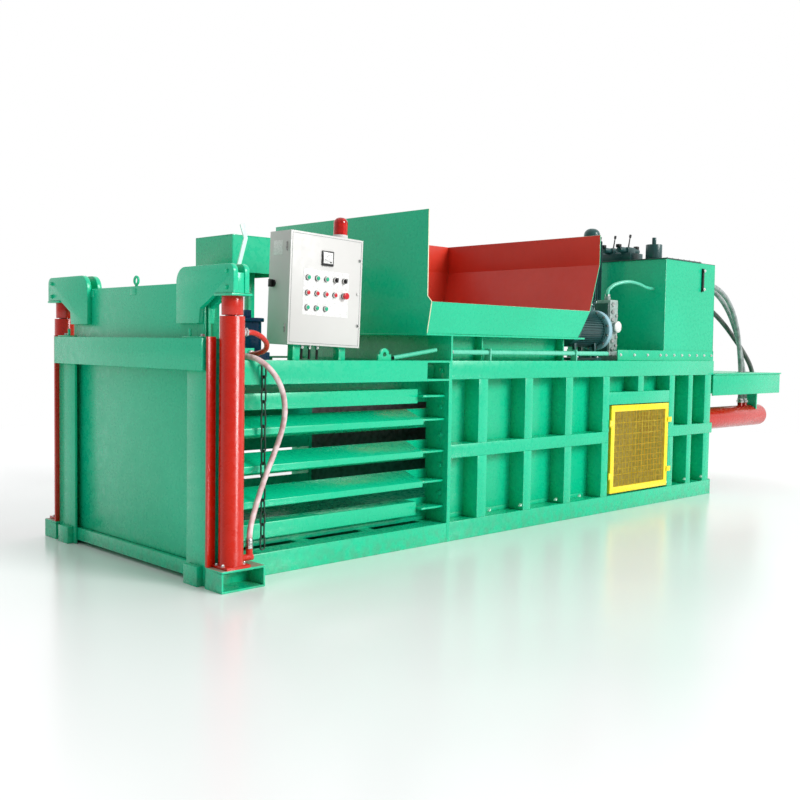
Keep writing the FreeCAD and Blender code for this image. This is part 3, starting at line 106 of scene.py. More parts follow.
def light_studio():
    """White cyclorama, a broad soft key from the operator's side and an even fill."""
    world = bpy.data.worlds.new("studio")
    bpy.context.scene.world = world
    world.use_nodes = True
    tree = world.node_tree
    tree.nodes.clear()
    path = tree.nodes.new("ShaderNodeLightPath")
    way = tree.nodes.new("ShaderNodeTexCoord")
    toward = tree.nodes.new("ShaderNodeVectorMath")
    toward.operation = "DOT_PRODUCT"
    toward.inputs[1].default_value = (0.62, 0.64, 0.45)
    tree.links.new(way.outputs["Generated"], toward.inputs[0])
    level = tree.nodes.new("ShaderNodeMapRange")
    for key, value in (("From Min", -0.5), ("From Max", 0.8), ("To Min", 0.30), ("To Max", 1.15)):
        level.inputs[key].default_value = value
    tree.links.new(toward.outputs["Value"], level.inputs["Value"])
    fill = tree.nodes.new("ShaderNodeBackground")
    tree.links.new(level.outputs["Result"], fill.inputs["Strength"])
    seen = tree.nodes.new("ShaderNodeBackground")
    seen.inputs["Strength"].default_value = 1.0
    for background in (fill, seen):
        background.inputs["Color"].default_value = (1, 1, 1, 1)
    mix = tree.nodes.new("ShaderNodeMixShader")
    output = tree.nodes.new("ShaderNodeOutputWorld")
    tree.links.new(path.outputs["Is Camera Ray"], mix.inputs[0])
    tree.links.new(fill.outputs[0], mix.inputs[1])
    tree.links.new(seen.outputs[0], mix.inputs[2])
    tree.links.new(mix.outputs[0], output.inputs[0])
    add_light("key", "SUN", 2.55, (3.0, -8.5, 5.0), (0, 0, 1), angle=25)


# ---------------------------------------------------------------- materials

def linear(code):
    """sRGB hex to linear RGBA."""
    values = [int(code[k:k + 2], 16) / 255 for k in (0, 2, 4)]
    return tuple(v / 12.92 if v <= 0.04045 else ((v + 0.055) / 1.055) ** 2.4 for v in values) + (1.0,)


def add(tree, kind, values=None, wires=None, **settings):
    """Adds a node with its own settings, its sockets' values, and wires into its sockets."""
    made = tree.nodes.new("ShaderNode" + kind)
    for key, value in settings.items():
        setattr(made, key, value)
    for key, value in (values or {}).items():
        made.inputs[key].default_value = value
    for key, source in (wires or {}).items():
        tree.links.new(source, made.inputs[key])
    return made


def start_material(name, roughness, metallic=0.0, coat=0.0, ior=1.5):
    """An empty surface shader and the piece's own coordinates in metres."""
    material = bpy.data.materials.new(name)
    material.use_nodes = True
    tree = material.node_tree
    shader = tree.nodes["Principled BSDF"]
    shader.inputs["Roughness"].default_value = roughness
    shader.inputs["Metallic"].default_value = metallic
    shader.inputs["Coat Weight"].default_value = coat
    if not metallic:
        shader.inputs["IOR"].default_value = ior
    place = add(tree, "TexCoord").outputs["Object"]
    return material, tree, shader, place


def per_metre(millimetres):
    """Noise scale whose features are that many millimetres across."""
    return 1000.0 / millimetres


def noise(tree, place, millimetres, detail=2.0, roughness=0.5):
    return add(tree, "TexNoise", {"Scale": per_metre(millimetres), "Detail": detail, "Roughness": roughness},
               {"Vector": place}).outputs["Fac"]


def blend_colours(tree, factor, first, second):
    """Mix of two colours, each a hex code or another node's output."""
    mix = add(tree, "Mix", wires={"Factor": factor}, data_type="RGBA")
    for socket, colour in ((mix.inputs[6], first), (mix.inputs[7], second)):
        if isinstance(colour, str):
            socket.default_value = linear(colour)
        else:
            tree.links.new(colour, socket)
    return mix.outputs[2]


def spread(tree, value, low, high, out_low=0.0, out_high=1.0):
    return add(tree, "MapRange", {"From Min": low, "From Max": high, "To Min": out_low, "To Max": out_high},
               {"Value": value}).outputs["Result"]


def roughen(tree, shader, height, distance, strength=1.0):
    bump = add(tree, "Bump", {"Strength": strength, "Distance": distance}, {"Height": height})
    tree.links.new(bump.outputs["Normal"], shader.inputs["Normal"])


def enamel(name, colour, pale, shade, roughness=0.26, coat=0.12, dust=0.0):
    """Sprayed alkyd machine enamel over plate: glossy, a little orange peel and slow waves where the plate
    has pulled at its welds, thin pale overspray and darker drips scattered by noise."""
    material, tree, shader, place = start_material(name, roughness, coat=coat)
    shader.inputs["Coat Roughness"].default_value = 0.12
    broad = spread(tree, noise(tree, place, 900, 3), 0.35, 0.7)
    cloud = spread(tree, noise(tree, place, 120, 4), 0.45, 0.75)
    tint = blend_colours(tree, broad, colour, pale)
    streaked = blend_colours(tree, add(tree, "Math", {1: 0.12}, {0: cloud}, operation="MULTIPLY").outputs[0],
                             tint, shade)
    if dust:
        height = add(tree, "SeparateXYZ", wires={0: place}).outputs["Z"]
        low = spread(tree, height, 0.22, 0.0, 0.0, dust)
        patch = spread(tree, noise(tree, place, 60, 5), 0.4, 0.65)
        mask = add(tree, "Math", wires={0: low, 1: patch}, operation="MULTIPLY").outputs[0]
        streaked = blend_colours(tree, mask, streaked, "6f6a58")
    tree.links.new(streaked, shader.inputs["Base Color"])
    gloss = spread(tree, noise(tree, place, 45, 3), 0.3, 0.7, roughness - 0.06, roughness + 0.12)
    tree.links.new(gloss, shader.inputs["Roughness"])
    peel = noise(tree, place, 7, 1)
    wave = noise(tree, place, 420, 1)
    total = add(tree, "Math", {1: 14.0}, {0: wave}, operation="MULTIPLY").outputs[0]
    height = add(tree, "Math", wires={0: total, 1: peel}, operation="ADD").outputs[0]
    roughen(tree, shader, height, 0.0002, 0.5)
    return material


def plastic(name, colour, roughness=0.3, ior=1.49):
    """Injection-moulded plastic: even colour, faint moulding haze."""
    material, tree, shader, place = start_material(name, roughness, ior=ior)
    haze = spread(tree, noise(tree, place, 12, 2), 0.3, 0.7)
    darker = "%02x%02x%02x" % tuple(int(int(colour[k:k + 2], 16) * 0.86) for k in (0, 2, 4))
    tree.links.new(blend_colours(tree, haze, colour, darker), shader.inputs["Base Color"])
    roughen(tree, shader, noise(tree, place, 1.5, 1), 0.00005, 0.4)
    return material


def metal(name, colour, worn, roughness, grain_mm, depth=0.0001, metallic=1.0):
    """Bare or plated metal with a fine grain and patches worn duller."""
    material, tree, shader, place = start_material(name, roughness, metallic=metallic)
    patch = spread(tree, noise(tree, place, 40, 4), 0.4, 0.7)
    tree.links.new(blend_colours(tree, patch, colour, worn), shader.inputs["Base Color"])
    tree.links.new(spread(tree, noise(tree, place, 15, 3), 0.3, 0.7, roughness * 0.7, roughness * 1.4),
                   shader.inputs["Roughness"])
    roughen(tree, shader, noise(tree, place, grain_mm, 2), depth, 0.5)
    return material


def rubber(name, colour, dirt, roughness=0.55, rib_mm=0.0):
    """Hose cover: satin rubber with handling dirt, and the lie of the wrapping where it has one."""
    material, tree, shader, place = start_material(name, roughness, ior=1.52)
    patch = spread(tree, noise(tree, place, 70, 4), 0.42, 0.68)
    tree.links.new(blend_colours(tree, patch, colour, dirt), shader.inputs["Base Color"])
    height = noise(tree, place, 6, 2)
    if rib_mm:
        wrap = add(tree, "TexWave", {"Scale": per_metre(rib_mm) / 6.28, "Distortion": 1.5},
                   {"Vector": place}, bands_direction="DIAGONAL").outputs["Fac"]
        height = add(tree, "Math", wires={0: height, 1: wrap}, operation="ADD").outputs[0]
    roughen(tree, shader, height, 0.0012, 0.6)
    return material


def clear_plastic(name, colour, roughness=0.08, transmission=0.75):
    """Polycarbonate lens or cover."""
    material, tree, shader, place = start_material(name, roughness, ior=1.58)
    shade = spread(tree, noise(tree, place, 30, 2), 0.3, 0.7)
    darker = "%02x%02x%02x" % tuple(int(int(colour[k:k + 2], 16) * 0.8) for k in (0, 2, 4))
    tree.links.new(blend_colours(tree, shade, colour, darker), shader.inputs["Base Color"])
    shader.inputs["Transmission Weight"].default_value = transmission
    return material


def make_finishes():
    return {
        "green": enamel("mint_machine_enamel", "04bd8c", "06c594", "04ad80", dust=0.3),
        "red": enamel("red_cylinder_enamel", "c01804", "cb2208", "9c1404", roughness=0.24, coat=0.2),
        "hopper_red": enamel("red_hopper_paint", "d0301a", "d83c24", "b02a18", roughness=0.42, coat=0.0),
        "yellow": enamel("yellow_guard_enamel", "f7d90c", "ffe526", "dcb808", roughness=0.25),
        "motor": enamel("dark_teal_motor_enamel", "1c4a4a", "245856", "123434", roughness=0.32),
        "blue": enamel("blue_valve_enamel", "123a6e", "1b4a86", "0c2748", roughness=0.28),
        "pipe": enamel("pale_green_pipe_enamel", "4fc8a4", "74d4b8", "34a482", roughness=0.25),
        "cabinet": enamel("light_grey_powder_coat", "cccbc8", "d2d1ce", "c2c2be", roughness=0.4, coat=0.0),
        "lid": enamel("dark_lid_enamel", "2c4742", "35524c", "1c302c", roughness=0.35),
        "cast": metal("painted_grey_casting", "9fb0ab", "82938e", 0.5, 5, 0.0006, metallic=0.0),
        "steel": metal("mill_steel", "8d8f8f", "6d6c69", 0.38, 2),
        "zinc": metal("zinc_plated_steel", "c3c6c4", "9da09c", 0.3, 2),
        "chrome": metal("hard_chrome_rod", "d6d8da", "c4c6c8", 0.1, 3, 0.00003),
        "chain": metal("oiled_chain_steel", "2e4a41", "3f423c", 0.42, 3, metallic=0.6),
        "black": plastic("black_polyamide", "141516", 0.35),
        "green_cap": plastic("green_button_plastic", "12b487", 0.25),
        "red_cap": plastic("red_button_plastic", "d21526", 0.25),
        "white": plastic("white_legend_plate", "f2f2f0", 0.35),
        "red_lens": clear_plastic("red_beacon_lens", "ff1e14", 0.12, 0.55),
        "pale_hose": rubber("pale_pink_hose_cover", "e6cfd0", "b98f8e", 0.45),
        "grey_hose": rubber("grey_wrapped_hose_cover", "a4aaa9", "777f7d", 0.6, rib_mm=22),
        "dark_hose": rubber("dark_hose_cover", "5d615c", "3b3f3b", 0.6, rib_mm=22),
        "gear": plastic("cream_contactor_plastic", "cfc9b4", 0.45),
        # pale cream painted highlight for the hopper's upward and light-facing rims and edges
        "rim_highlight": enamel("cream_painted_rim_highlight", "ded6b4", "e8e2c6", "b9ab84", roughness=0.4, coat=0.0),
        "pale": enamel("pale_mint_overspray", "bfe6d6", "cff0e2", "9fd0bd", roughness=0.35, coat=0.0),
        "worn": enamel("worn_grey_brown_plate", "7f7a68", "98927d", "5a5546", roughness=0.5, coat=0.0),
        "flange": enamel("pale_blue_flange_enamel", "8fb6c4", "a4c8d4", "7399a8", roughness=0.35, coat=0.0),
        "net": metal("yellow_painted_fine_net", "d6b93c", "b89a30", 0.5, 3, metallic=0.0),
    }


FINISH = make_finishes()


# ---------------------------------------------------------------- shaping helpers

def finish_piece(name, bm, materials, body="frame", crease=32.0):
    """Turns a bmesh into a piece that rides on a body, smooth except at creases."""
    for edge in bm.edges:
        edge.smooth = len(edge.link_faces) == 2 and edge.calc_face_angle(0.0) < math.radians(crease)
    for face in bm.faces:
        face.smooth = True
    mesh = bpy.data.meshes.new(name)
    bm.to_mesh(mesh)
    bm.free()
    for key in materials:
        mesh.materials.append(FINISH[key])
    piece = bpy.data.objects.new(name, mesh)
    bpy.context.scene.collection.objects.link(piece)
    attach(piece, body)
    return piece


def rounded(bm, geom, width, segments=2):
    return bmesh.ops.bevel(bm, geom=geom, offset=width, offset_type="OFFSET", segments=segments, profile=0.5,
                           affect="EDGES", clamp_overlap=True, material=-1)


def bar(bm, low, high, edge=0.002, material=0, turn=None):
    """A box between two corners with rounded edges."""
    size = Vector(high) - Vector(low)
    centre = (Vector(high) + Vector(low)) / 2
    made = bmesh.ops.create_cube(bm, size=1.0)
    verts = made["verts"]
    bmesh.ops.scale(bm, vec=size, verts=verts)
    faces = {f for v in verts for f in v.link_faces}
    edges = {e for v in verts for e in v.link_edges}
    for face in faces:
        face.material_index = material
    if edge:
        width = min(edge, 0.45 * min(size))
        grown = rounded(bm, list(edges), width)
        verts = list({v for f in grown["faces"] for v in f.verts} | {v for v in verts if v.is_valid})
    if turn is not None:
        bmesh.ops.transform(bm, matrix=turn, verts=verts)
    bmesh.ops.translate(bm, vec=centre, verts=verts)
    return verts


def turned(bm, profile, base, axis, steps=32, material=0):
    """A body of revolution: profile is (radius, height) pairs along the axis from the base."""
    axis = Vector(axis).normalized()
    side = axis.orthogonal().normalized()
    base = Vector(base)
    before = set(bm.faces)
    verts = [bm.verts.new(base + side * r + axis * h) for r, h in profile]
    edges = [bm.edges.new(pair) for pair in zip(verts, verts[1:])]
    bmesh.ops.spin(bm, geom=verts + edges, cent=base, axis=axis, angle=math.tau, steps=steps, use_merge=True)
    fresh = [f for f in bm.faces if f not in before]
    ring = list({v for f in fresh for v in f.verts})
    bmesh.ops.remove_doubles(bm, verts=ring, dist=1e-6)
    fresh = [f for f in bm.faces if f not in before]
    for face in fresh:
        face.material_index = material
    bmesh.ops.recalc_face_normals(bm, faces=fresh)
    return fresh


def hexagon_head(bm, base, axis, radius, height, material=0, washer=True):
    """Bolt head or nut with a chamfered top, on a washer."""
    axis = Vector(axis).normalized()
    if washer:
        turned(bm, [(0, 0), (radius * 1.35, 0), (radius * 1.35, height * 0.2), (0, height * 0.2)],
               base, axis, 20, material)
    foot = Vector(base) + axis * height * (0.2 if washer else 0.0)
    profile = [(0, 0), (radius, 0), (radius, height * 0.75), (radius * 0.85, height), (0, height)]
    turned(bm, profile, foot, axis, 6, material)


def disc(bm, radius, height, base, axis, steps, material=0):
    """A plain plug, round or, in six steps, hexagonal."""
    turned(bm, [(0, 0), (radius, 0), (radius, height), (0, height)], base, axis, steps, material)


def softened(name, finish, width=0.003, others=(), choose=None):
    """A CAD node's own shape with its sharp edges broken, standing for the node; a chooser can give faces
    one of the other finishes by their centre and normal."""
    bm = bmesh.new()
    bm.from_mesh(frame["nodes"][name].data)
    bmesh.ops.remove_doubles(bm, verts=bm.verts, dist=1e-5)
    bmesh.ops.dissolve_limit(bm, angle_limit=math.radians(0.5), verts=bm.verts, edges=bm.edges,
                             delimit={"NORMAL"})
    sharp = [e for e in bm.edges if len(e.link_faces) == 2 and e.calc_face_angle(0.0) > math.radians(35)]
    if width:
        rounded(bm, sharp, width)
        low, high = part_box(name)
        for vert in bm.verts:
            vert.co = [min(max(c, a), b) for c, a, b in zip(vert.co, low, high)]
    for face in bm.faces:
        face.material_index = choose(face.calc_center_median(), face.normal) if choose else 0
    piece = finish_piece(name + "_finished", bm, [finish, *others], body_of(name))
    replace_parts(piece, name)
    return piece


def body_of(name):
    for body, names in frame["record"]["behaviour"]["bodies"].items():
        if name in names:
            return body
    raise ValueError(name)


# ---------------------------------------------------------------- hoses

NEAR_HOSE = [(-1975, -885, 1480), (-1975, -965, 1480), (-1935, -1048, 1464), (-1878, -1100, 1408),
             (-1810, -1116, 1322), (-1758, -1112, 1210), (-1742, -1102, 1085), (-1770, -1094, 960),
             (-1830, -1094, 825), (-1905, -1100, 680), (-1970, -1112, 540), (-2025, -1132, 430),
             (-2060, -1150, 340), (-2060, -1150, 250)]
UPPER_HOSE = [(4240, -640, 2330), (4430, -640, 2330), (4630, -640, 2325), (4825, -640, 2296),
              (5005, -640, 2236), (5160, -640, 2142), (5285, -640, 2016), (5375, -640, 1868),
              (5436, -640, 1706), (5480, -640, 1530), (5516, -640, 1340), (5530, -640, 1140),
              (5530, -640, 940)]
MIDDLE_HOSE = [(4241, -520, 2330), (4430, -520, 2331), (4640, -520, 2330), (4850, -520, 2308),
               (5045, -522, 2250), (5215, -530, 2156), (5350, -545, 2030), (5447, -565, 1880),
               (5512, -590, 1715), (5560, -612, 1535), (5600, -630, 1340), (5628, -640, 1140),
               (5640, -640, 1040), (5640, -640, 940)]
LOWER_HOSE = [(4240, -440, 2170), (4430, -440, 2170), (4640, -440, 2160), (4837, -440, 2126),
              (5010, -443, 2076), (5170, -449, 2010), (5313, -458, 1935), (5446, -472, 1848),
              (5563, -495, 1745), (5670, -530, 1632), (5760, -571, 1510), (5824, -610, 1385),
              (5857, -633, 1255), (5860, -640, 1120), (5857, -640, 1030), (5857, -640, 940)]


def lay_hose(name, route, diameter, finish, node):
    """A pressure hose with its crimped end sleeves, along its route from exit to port."""
    data = bpy.data.curves.new(name, "CURVE")
    data.dimensions = "3D"
    data.bevel_depth = diameter / 2
    data.bevel_resolution = 5
    data.resolution_u = 10
    data.use_fill_caps = True
    spline = data.splines.new("NURBS")
    spline.points.add(len(route) - 1)
    places = [at(*p) for p in route]
    for point, place in zip(spline.points, places):
        point.co = (place.x, place.y, place.z, 1)
    spline.order_u = 3
    spline.use_endpoint_u = True
    data.materials.append(FINISH[finish])
    hose = bpy.data.objects.new(name, data)
    bpy.context.scene.collection.objects.link(hose)
    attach(hose, "frame")
    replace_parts(hose, node)
    bm = bmesh.new()
    r = diameter / 2
    for end, next_place in ((places[0], places[1]), (places[-1], places[-2])):
        axis = (next_place - end).normalized()
        turned(bm, [(0, 0), (r * 1.15, 0), (r * 1.28, 0.004), (r * 1.28, 0.018), (r * 1.12, 0.022),
                    (r * 1.22, 0.027), (r * 1.22, 0.05), (r * 1.06, 0.056), (r * 0.9, 0.056)],
               end, axis, 24)
    sleeves = finish_piece(name + "_sleeves", bm, ["zinc"])
    return hose, sleeves


def lay_hoses():
    far = [(x, -y, z) for x, y, z in NEAR_HOSE]
    lay_hose("near_lift_hose", NEAR_HOSE, 0.038, "pale_hose", "lift_hose_near")
    lay_hose("far_lift_hose", far, 0.038, "pale_hose", "lift_hose_far")
    lay_hose("upper_tank_hose", UPPER_HOSE, 0.055, "grey_hose", "tank_hose_upper")
    lay_hose("middle_tank_hose", MIDDLE_HOSE, 0.055, "grey_hose", "tank_hose_middle")
    lay_hose("lower_tank_hose", LOWER_HOSE, 0.055, "dark_hose", "tank_hose_lower")


# ---------------------------------------------------------------- frame

def finish_frame():
    for name in ("chamber_floor", "chamber_sides", "chamber_roof", "press_floor", "press_sides", "press_deck",
                 "gate_posts", "hopper_base", "joint_flange", "tail_frame", "rear_bulkhead", "gate_panel"):
        softened(name, "green", 0.004)
    softened("cross_beam", "green", 0.004)
    softened("valve_hood", "green", 0.002)
    softened("oil_tank", "green", 0.003)
    softened("tank_lid", "lid", 0.003)
    foot_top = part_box("cylinder_feet")[1].z
    softened("cylinder_feet", "green", 0.003, ["worn"],
             lambda c, n: int(n.z > 0.9 and c.z > foot_top - 0.002))
    cap_low, cap_high = at(0, 0, 1850).z, at(0, 0, 1872).z
    softened("gate_hooks", "green", 0.004, ["worn", "pale"],
             lambda c, n: 2 if c.z > 2.054 else int(cap_low < c.z < cap_high and n.z > 0.5))
    for name in ("guide_rails", "lift_barrels", "main_barrels", "port_pipes"):
        softened(name, "red", 0.003)
    for name in ("ram_guides", "ram_body"):
        softened(name, "steel", 0.003)
    sleeve_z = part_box("lift_barrels")[1].z
    softened("lift_rods", "chrome", 0.002, ["red"], lambda c, n: int(c.z > sleeve_z + 0.004))
    softened("ram_rods", "chrome", 0.002)
    softened("flange_bolts", "green", 0.001)
    softened("safety_chain", "chain", 0.0)
    softened("level_gauge", "black", 0.001)
    softened("oil_pipes", "pipe", 0.0)
    softened("gate_valve", "blue", 0.005)
    softened("hydraulic_pump", "cast", 0.004)
    softened("standby_motor", "motor", 0.006)
    softened("valve_block", "motor", 0.004)


def gate_details():
    """Bolts, collars and nuts round the lifting cylinders and the gate."""
    bm = bmesh.new()
    for side in (-1, 1):
        y = side * LIFT_Y
        for x, out in ((-2282, 1180), (-2122, 1180), (-2282, 1112), (-2122, 1112)):
            hexagon_head(bm, at(x, side * out, 158), (0, 0, 1), 0.010, 0.011)
        turned(bm, [(0.048, 0), (0.078, 0), (0.0785, 0.003), (0.0785, 0.012), (0.076, 0.0135),
                    (0.048, 0.0135)], at(LIFT_X, y, 1716), (0, 0, 1), 40)
        for x, across in ((-2123, (1, 0, 0)), (-2104, (1, 0, 0))):
            turned(bm, [(0, 0), (0.029, 0), (0.029, 0.013), (0.026, 0.016), (0, 0.016)],
                   at(x, y, 1631), across, 6)
        disc(bm, 0.027, 0.016, at(-1874, side * 887, 1492), (0, side, 0), 6)
        disc(bm, 0.027, 0.018, at(-2060, y, 242), (0, 0, 1), 6)
        hexagon_head(bm, at(-2288, side * 950, 1600), (0, 0, 1), 0.014, 0.014)
        for x in (-2160, -2140):
            hexagon_head(bm, at(x, side * 1010, 1590), (0, 0, 1), 0.009, 0.009)
    finish_piece("cylinder_fittings", bm, ["zinc"])
    bm = bmesh.new()
    for side in (-1, 1):
        for z in (1905, 2005):
            hexagon_head(bm, at(-2282, side * 1205, z), (-1, 0, 0), 0.013, 0.013)
    for y in (-620, 0, 620):
        bar(bm, at(-2250, y - 40, 1890), at(-2247, y + 40, 1935), 0.001)
    finish_piece("gate_bolts", bm, ["green"], "gate")


def frame_bolts():
    """Lid, skirt and gauge bolts, gussets at the rib feet, caps on the pipes' ends and a black disc of
    painted shade in one open pipe end.
    """
    bm = bmesh.new()
    skirt_z = 1507
    for x in range(3270, 4240, 155):
        hexagon_head(bm, at(x, -958, skirt_z), (0, -1, 0), 0.011, 0.010)
    for x in range(2440, 3200, 240):
        hexagon_head(bm, at(x, -958, skirt_z), (0, -1, 0), 0.011, 0.010)
    for z in (2215, 2410):
        hexagon_head(bm, at(3968, -979, z), (0, -1, 0), 0.012, 0.009)
    for x in range(3255, 3920, 110):
        hexagon_head(bm, at(x, -948, 2502), (0, 0, 1), 0.008, 0.006)
        hexagon_head(bm, at(x, 248, 2502), (0, 0, 1), 0.008, 0.006)
    finish_piece("tank_bolts", bm, ["white"])
    bm = bmesh.new()
    for x in (505, 915, 1420, 1780, 2180, 3289, 3665, 4011):
        verts = [bm.verts.new(at(x + dx, y, 192 + dz)) for y in (-999, -977)
                 for dx, dz in ((-22, 0), (0, 0), (0, 22))]
        for face in ((0, 2, 1), (3, 4, 5), (0, 1, 4, 3), (1, 2, 5, 4), (2, 0, 3, 5)):
            bm.faces.new([verts[k] for k in face])
    bmesh.ops.recalc_face_normals(bm, faces=bm.faces)
    finish_piece("rib_gussets", bm, ["pale"])
    bm = bmesh.new()
    for x, z in ((20, 1517), (2208, 1517)):
        turned(bm, [(0, 0), (0.026, 0), (0.026, 0.012), (0.0, 0.012)], at(x, -955, z), (1, 0, 0), 24)
    # black disc in the small pipe's open end: painted shade standing for its dark bore
    turned(bm, [(0, 0), (0.014, 0), (0.014, 0.002), (0, 0.002)], at(-562, -900, 1467), (-1, 0, 0), 24, 1)
    finish_piece("pipe_caps_and_painted_bore_shade", bm, ["zinc", "black"])


def power_pack():
    """Finned motor with fan cowl, bolted flange and terminal box, pump plate, plugs and solenoid plugs."""
    axis_y, axis_z = MOTOR_Y, MOTOR_Z
    x0, x1 = MOTOR_X
    fins = 40
    flange_bolts = 12
    bm = bmesh.new()
    turned(bm, [(0, 0), (0.146, 0), (0.146, 0.44), (0, 0.44)], at(x0 + 60, axis_y, axis_z), (1, 0, 0), 56)
    turned(bm, [(0, 0), (0.115, 0), (0.120, 0.003), (0.158, 0.022), (0.163, 0.034), (0.163, 0.095),
                (0.158, 0.095), (0.158, 0.098), (0, 0.098)], at(x0, axis_y, axis_z), (1, 0, 0), 56)
    turned(bm, [(0, 0), (0.158, 0), (0.163, 0.004), (0.163, 0.026), (0, 0.026)],
           at(x1 - 26, axis_y, axis_z), (1, 0, 0), 56)
    for k in range(fins):
        angle = math.tau * k / fins
        outward = Vector((0, math.sin(angle), math.cos(angle)))
        middle = at((x0 + x1) / 2 + 35, axis_y, axis_z) + outward * 0.153
        half = Vector((0.185, 0.0022, 0.0095))
        bar(bm, middle - half, middle + half, 0.0008, turn=Matrix.Rotation(-angle, 4, "X"))
    for ring in (0.035, 0.065, 0.095):
        turned(bm, [(ring - 0.004, 0), (ring + 0.004, 0), (ring + 0.004, 0.003), (ring - 0.004, 0.003),
                    (ring - 0.004, 0)], at(x0 - 3, axis_y, axis_z), (1, 0, 0), 40, 1)
    bar(bm, at(x0 + 100, axis_y - 60, axis_z + 140), at(x1 - 80, axis_y + 60, axis_z + 231), 0.008)
    bar(bm, at(x0 + 94, axis_y - 66, axis_z + 232), at(x1 - 74, axis_y + 66, axis_z + 245), 0.004)
    for x in (x0 + 112, x1 - 92):
        for y in (axis_y - 52, axis_y + 52):
            hexagon_head(bm, at(x, y, axis_z + 245), (0, 0, 1), 0.006, 0.005, 1, False)
    bar(bm, at(x0 + 60, axis_y - 140, 1450), at(x1 - 40, axis_y + 140, 1476), 0.004)
    for side in (-1, 1):
        for x in (x0 + 90, x1 - 90):
            y = axis_y + side * 85
            bar(bm, at(x - 15, y - 16, 1474), at(x + 15, y + 16, 1625), 0.004)
            hexagon_head(bm, at(x, axis_y + side * 122, 1476), (0, 0, 1), 0.011, 0.011, 1)
    turned(bm, [(0, 0), (0.189, 0), (0.195, 0.006), (0.195, 0.052), (0.190, 0.060), (0, 0.060)],
           at(x1, axis_y, axis_z), (1, 0, 0), 56, 2)
    for k in range(flange_bolts):
        angle = math.tau * (k + 0.5) / flange_bolts
        spot = at(x1, axis_y, axis_z) + Vector((0, math.sin(angle), math.cos(angle))) * 0.178
        hexagon_head(bm, spot, (-1, 0, 0), 0.011, 0.009, 1)
    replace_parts(finish_piece("pump_motor_finned", bm, ["motor", "zinc", "flange"]), "pump_motor")
    bm = bmesh.new()
    bar(bm, at(2466, -782, 1505), at(2498, -622, 2012), 0.003)
    for z in (1560, 1640, 1850, 1930, 2000):
        turned(bm, [(0, 0), (0.022, 0), (0.022, 0.012), (0.019, 0.015), (0, 0.015)],
               at(2545, -780, z), (0, -1, 0), 6, 1)
    for z in (1600, 1680, 1890):
        disc(bm, 0.018, 0.010, at(2612, -780, z), (0, -1, 0), 6, 1)
    turned(bm, [(0, 0), (0.056, 0), (0.056, 0.012), (0.046, 0.018), (0.0, 0.018)],
           at(2592, -810, 1780), (0, -1, 0), 40, 2)
    disc(bm, 0.026, 0.022, at(2572, MOTOR_Y, 2082), (0, 0, 1), 6, 1)
    finish_piece("pump_plugs", bm, ["lid", "zinc", "white"])
    bm = bmesh.new()
    for k in range(3):
        y = -470 + 60 + 190 * k
        for x in (3250, 3590):
            bar(bm, at(x - 22, y + 22, 2640), at(x + 22, y + 68, 2676), 0.004)
        turned(bm, [(0, 0), (0.008, 0), (0.006, 0.11), (0.013, 0.12), (0.013, 0.145), (0, 0.15)],
               at(3435, y + 45, 2650), (0.25, 0, 1), 20)
    finish_piece("valve_plugs", bm, ["black"])
    port_nut = [(0, 0), (0.043, 0), (0.043, 0.026), (0.039, 0.030), (0, 0.030)]
    bm = bmesh.new()
    for route in (UPPER_HOSE, MIDDLE_HOSE, LOWER_HOSE):
        turned(bm, [(0, 0), (0.056, 0), (0.056, 0.012), (0.050, 0.014), (0, 0.014)],
               at(*route[0]), (1, 0, 0), 36)
        turned(bm, port_nut, at(*route[-1]), (0, 0, 1), 6)
    for x in (5530, 5640, 5857):
        turned(bm, port_nut, at(x, 640, 940), (0, 0, 1), 6)
    finish_piece("hose_ports", bm, ["zinc"])
    x, y = STANDBY
    bm = bmesh.new()
    for k in range(24):
        angle = math.tau * k / 24
        middle = at(x, y, 2380) + Vector((math.sin(angle), math.cos(angle), 0)) * 0.104
        half = Vector((0.002, 0.007, 0.31))
        bar(bm, middle - half, middle + half, 0.0008, turn=Matrix.Rotation(-angle, 4, "Z"))
    for k in range(8):
        angle = math.tau * (k + 0.5) / 8
        spot = at(x, y, 2050) + Vector((math.sin(angle), math.cos(angle), 0)) * 0.110
        hexagon_head(bm, spot, (0, 0, 1), 0.007, 0.007, 1, False)
    finish_piece("standby_fins", bm, ["motor", "zinc"])


# ---------------------------------------------------------------- control cabinet

def lean(bm):
    """Leans what was built upright as the cabinet leans."""
    centre = at(*TILT_CENTRE)
    turn = Matrix.Translation(centre) @ Matrix.Rotation(TILT, 4, "Y") @ Matrix.Translation(-centre)
    bmesh.ops.transform(bm, matrix=turn, verts=bm.verts)


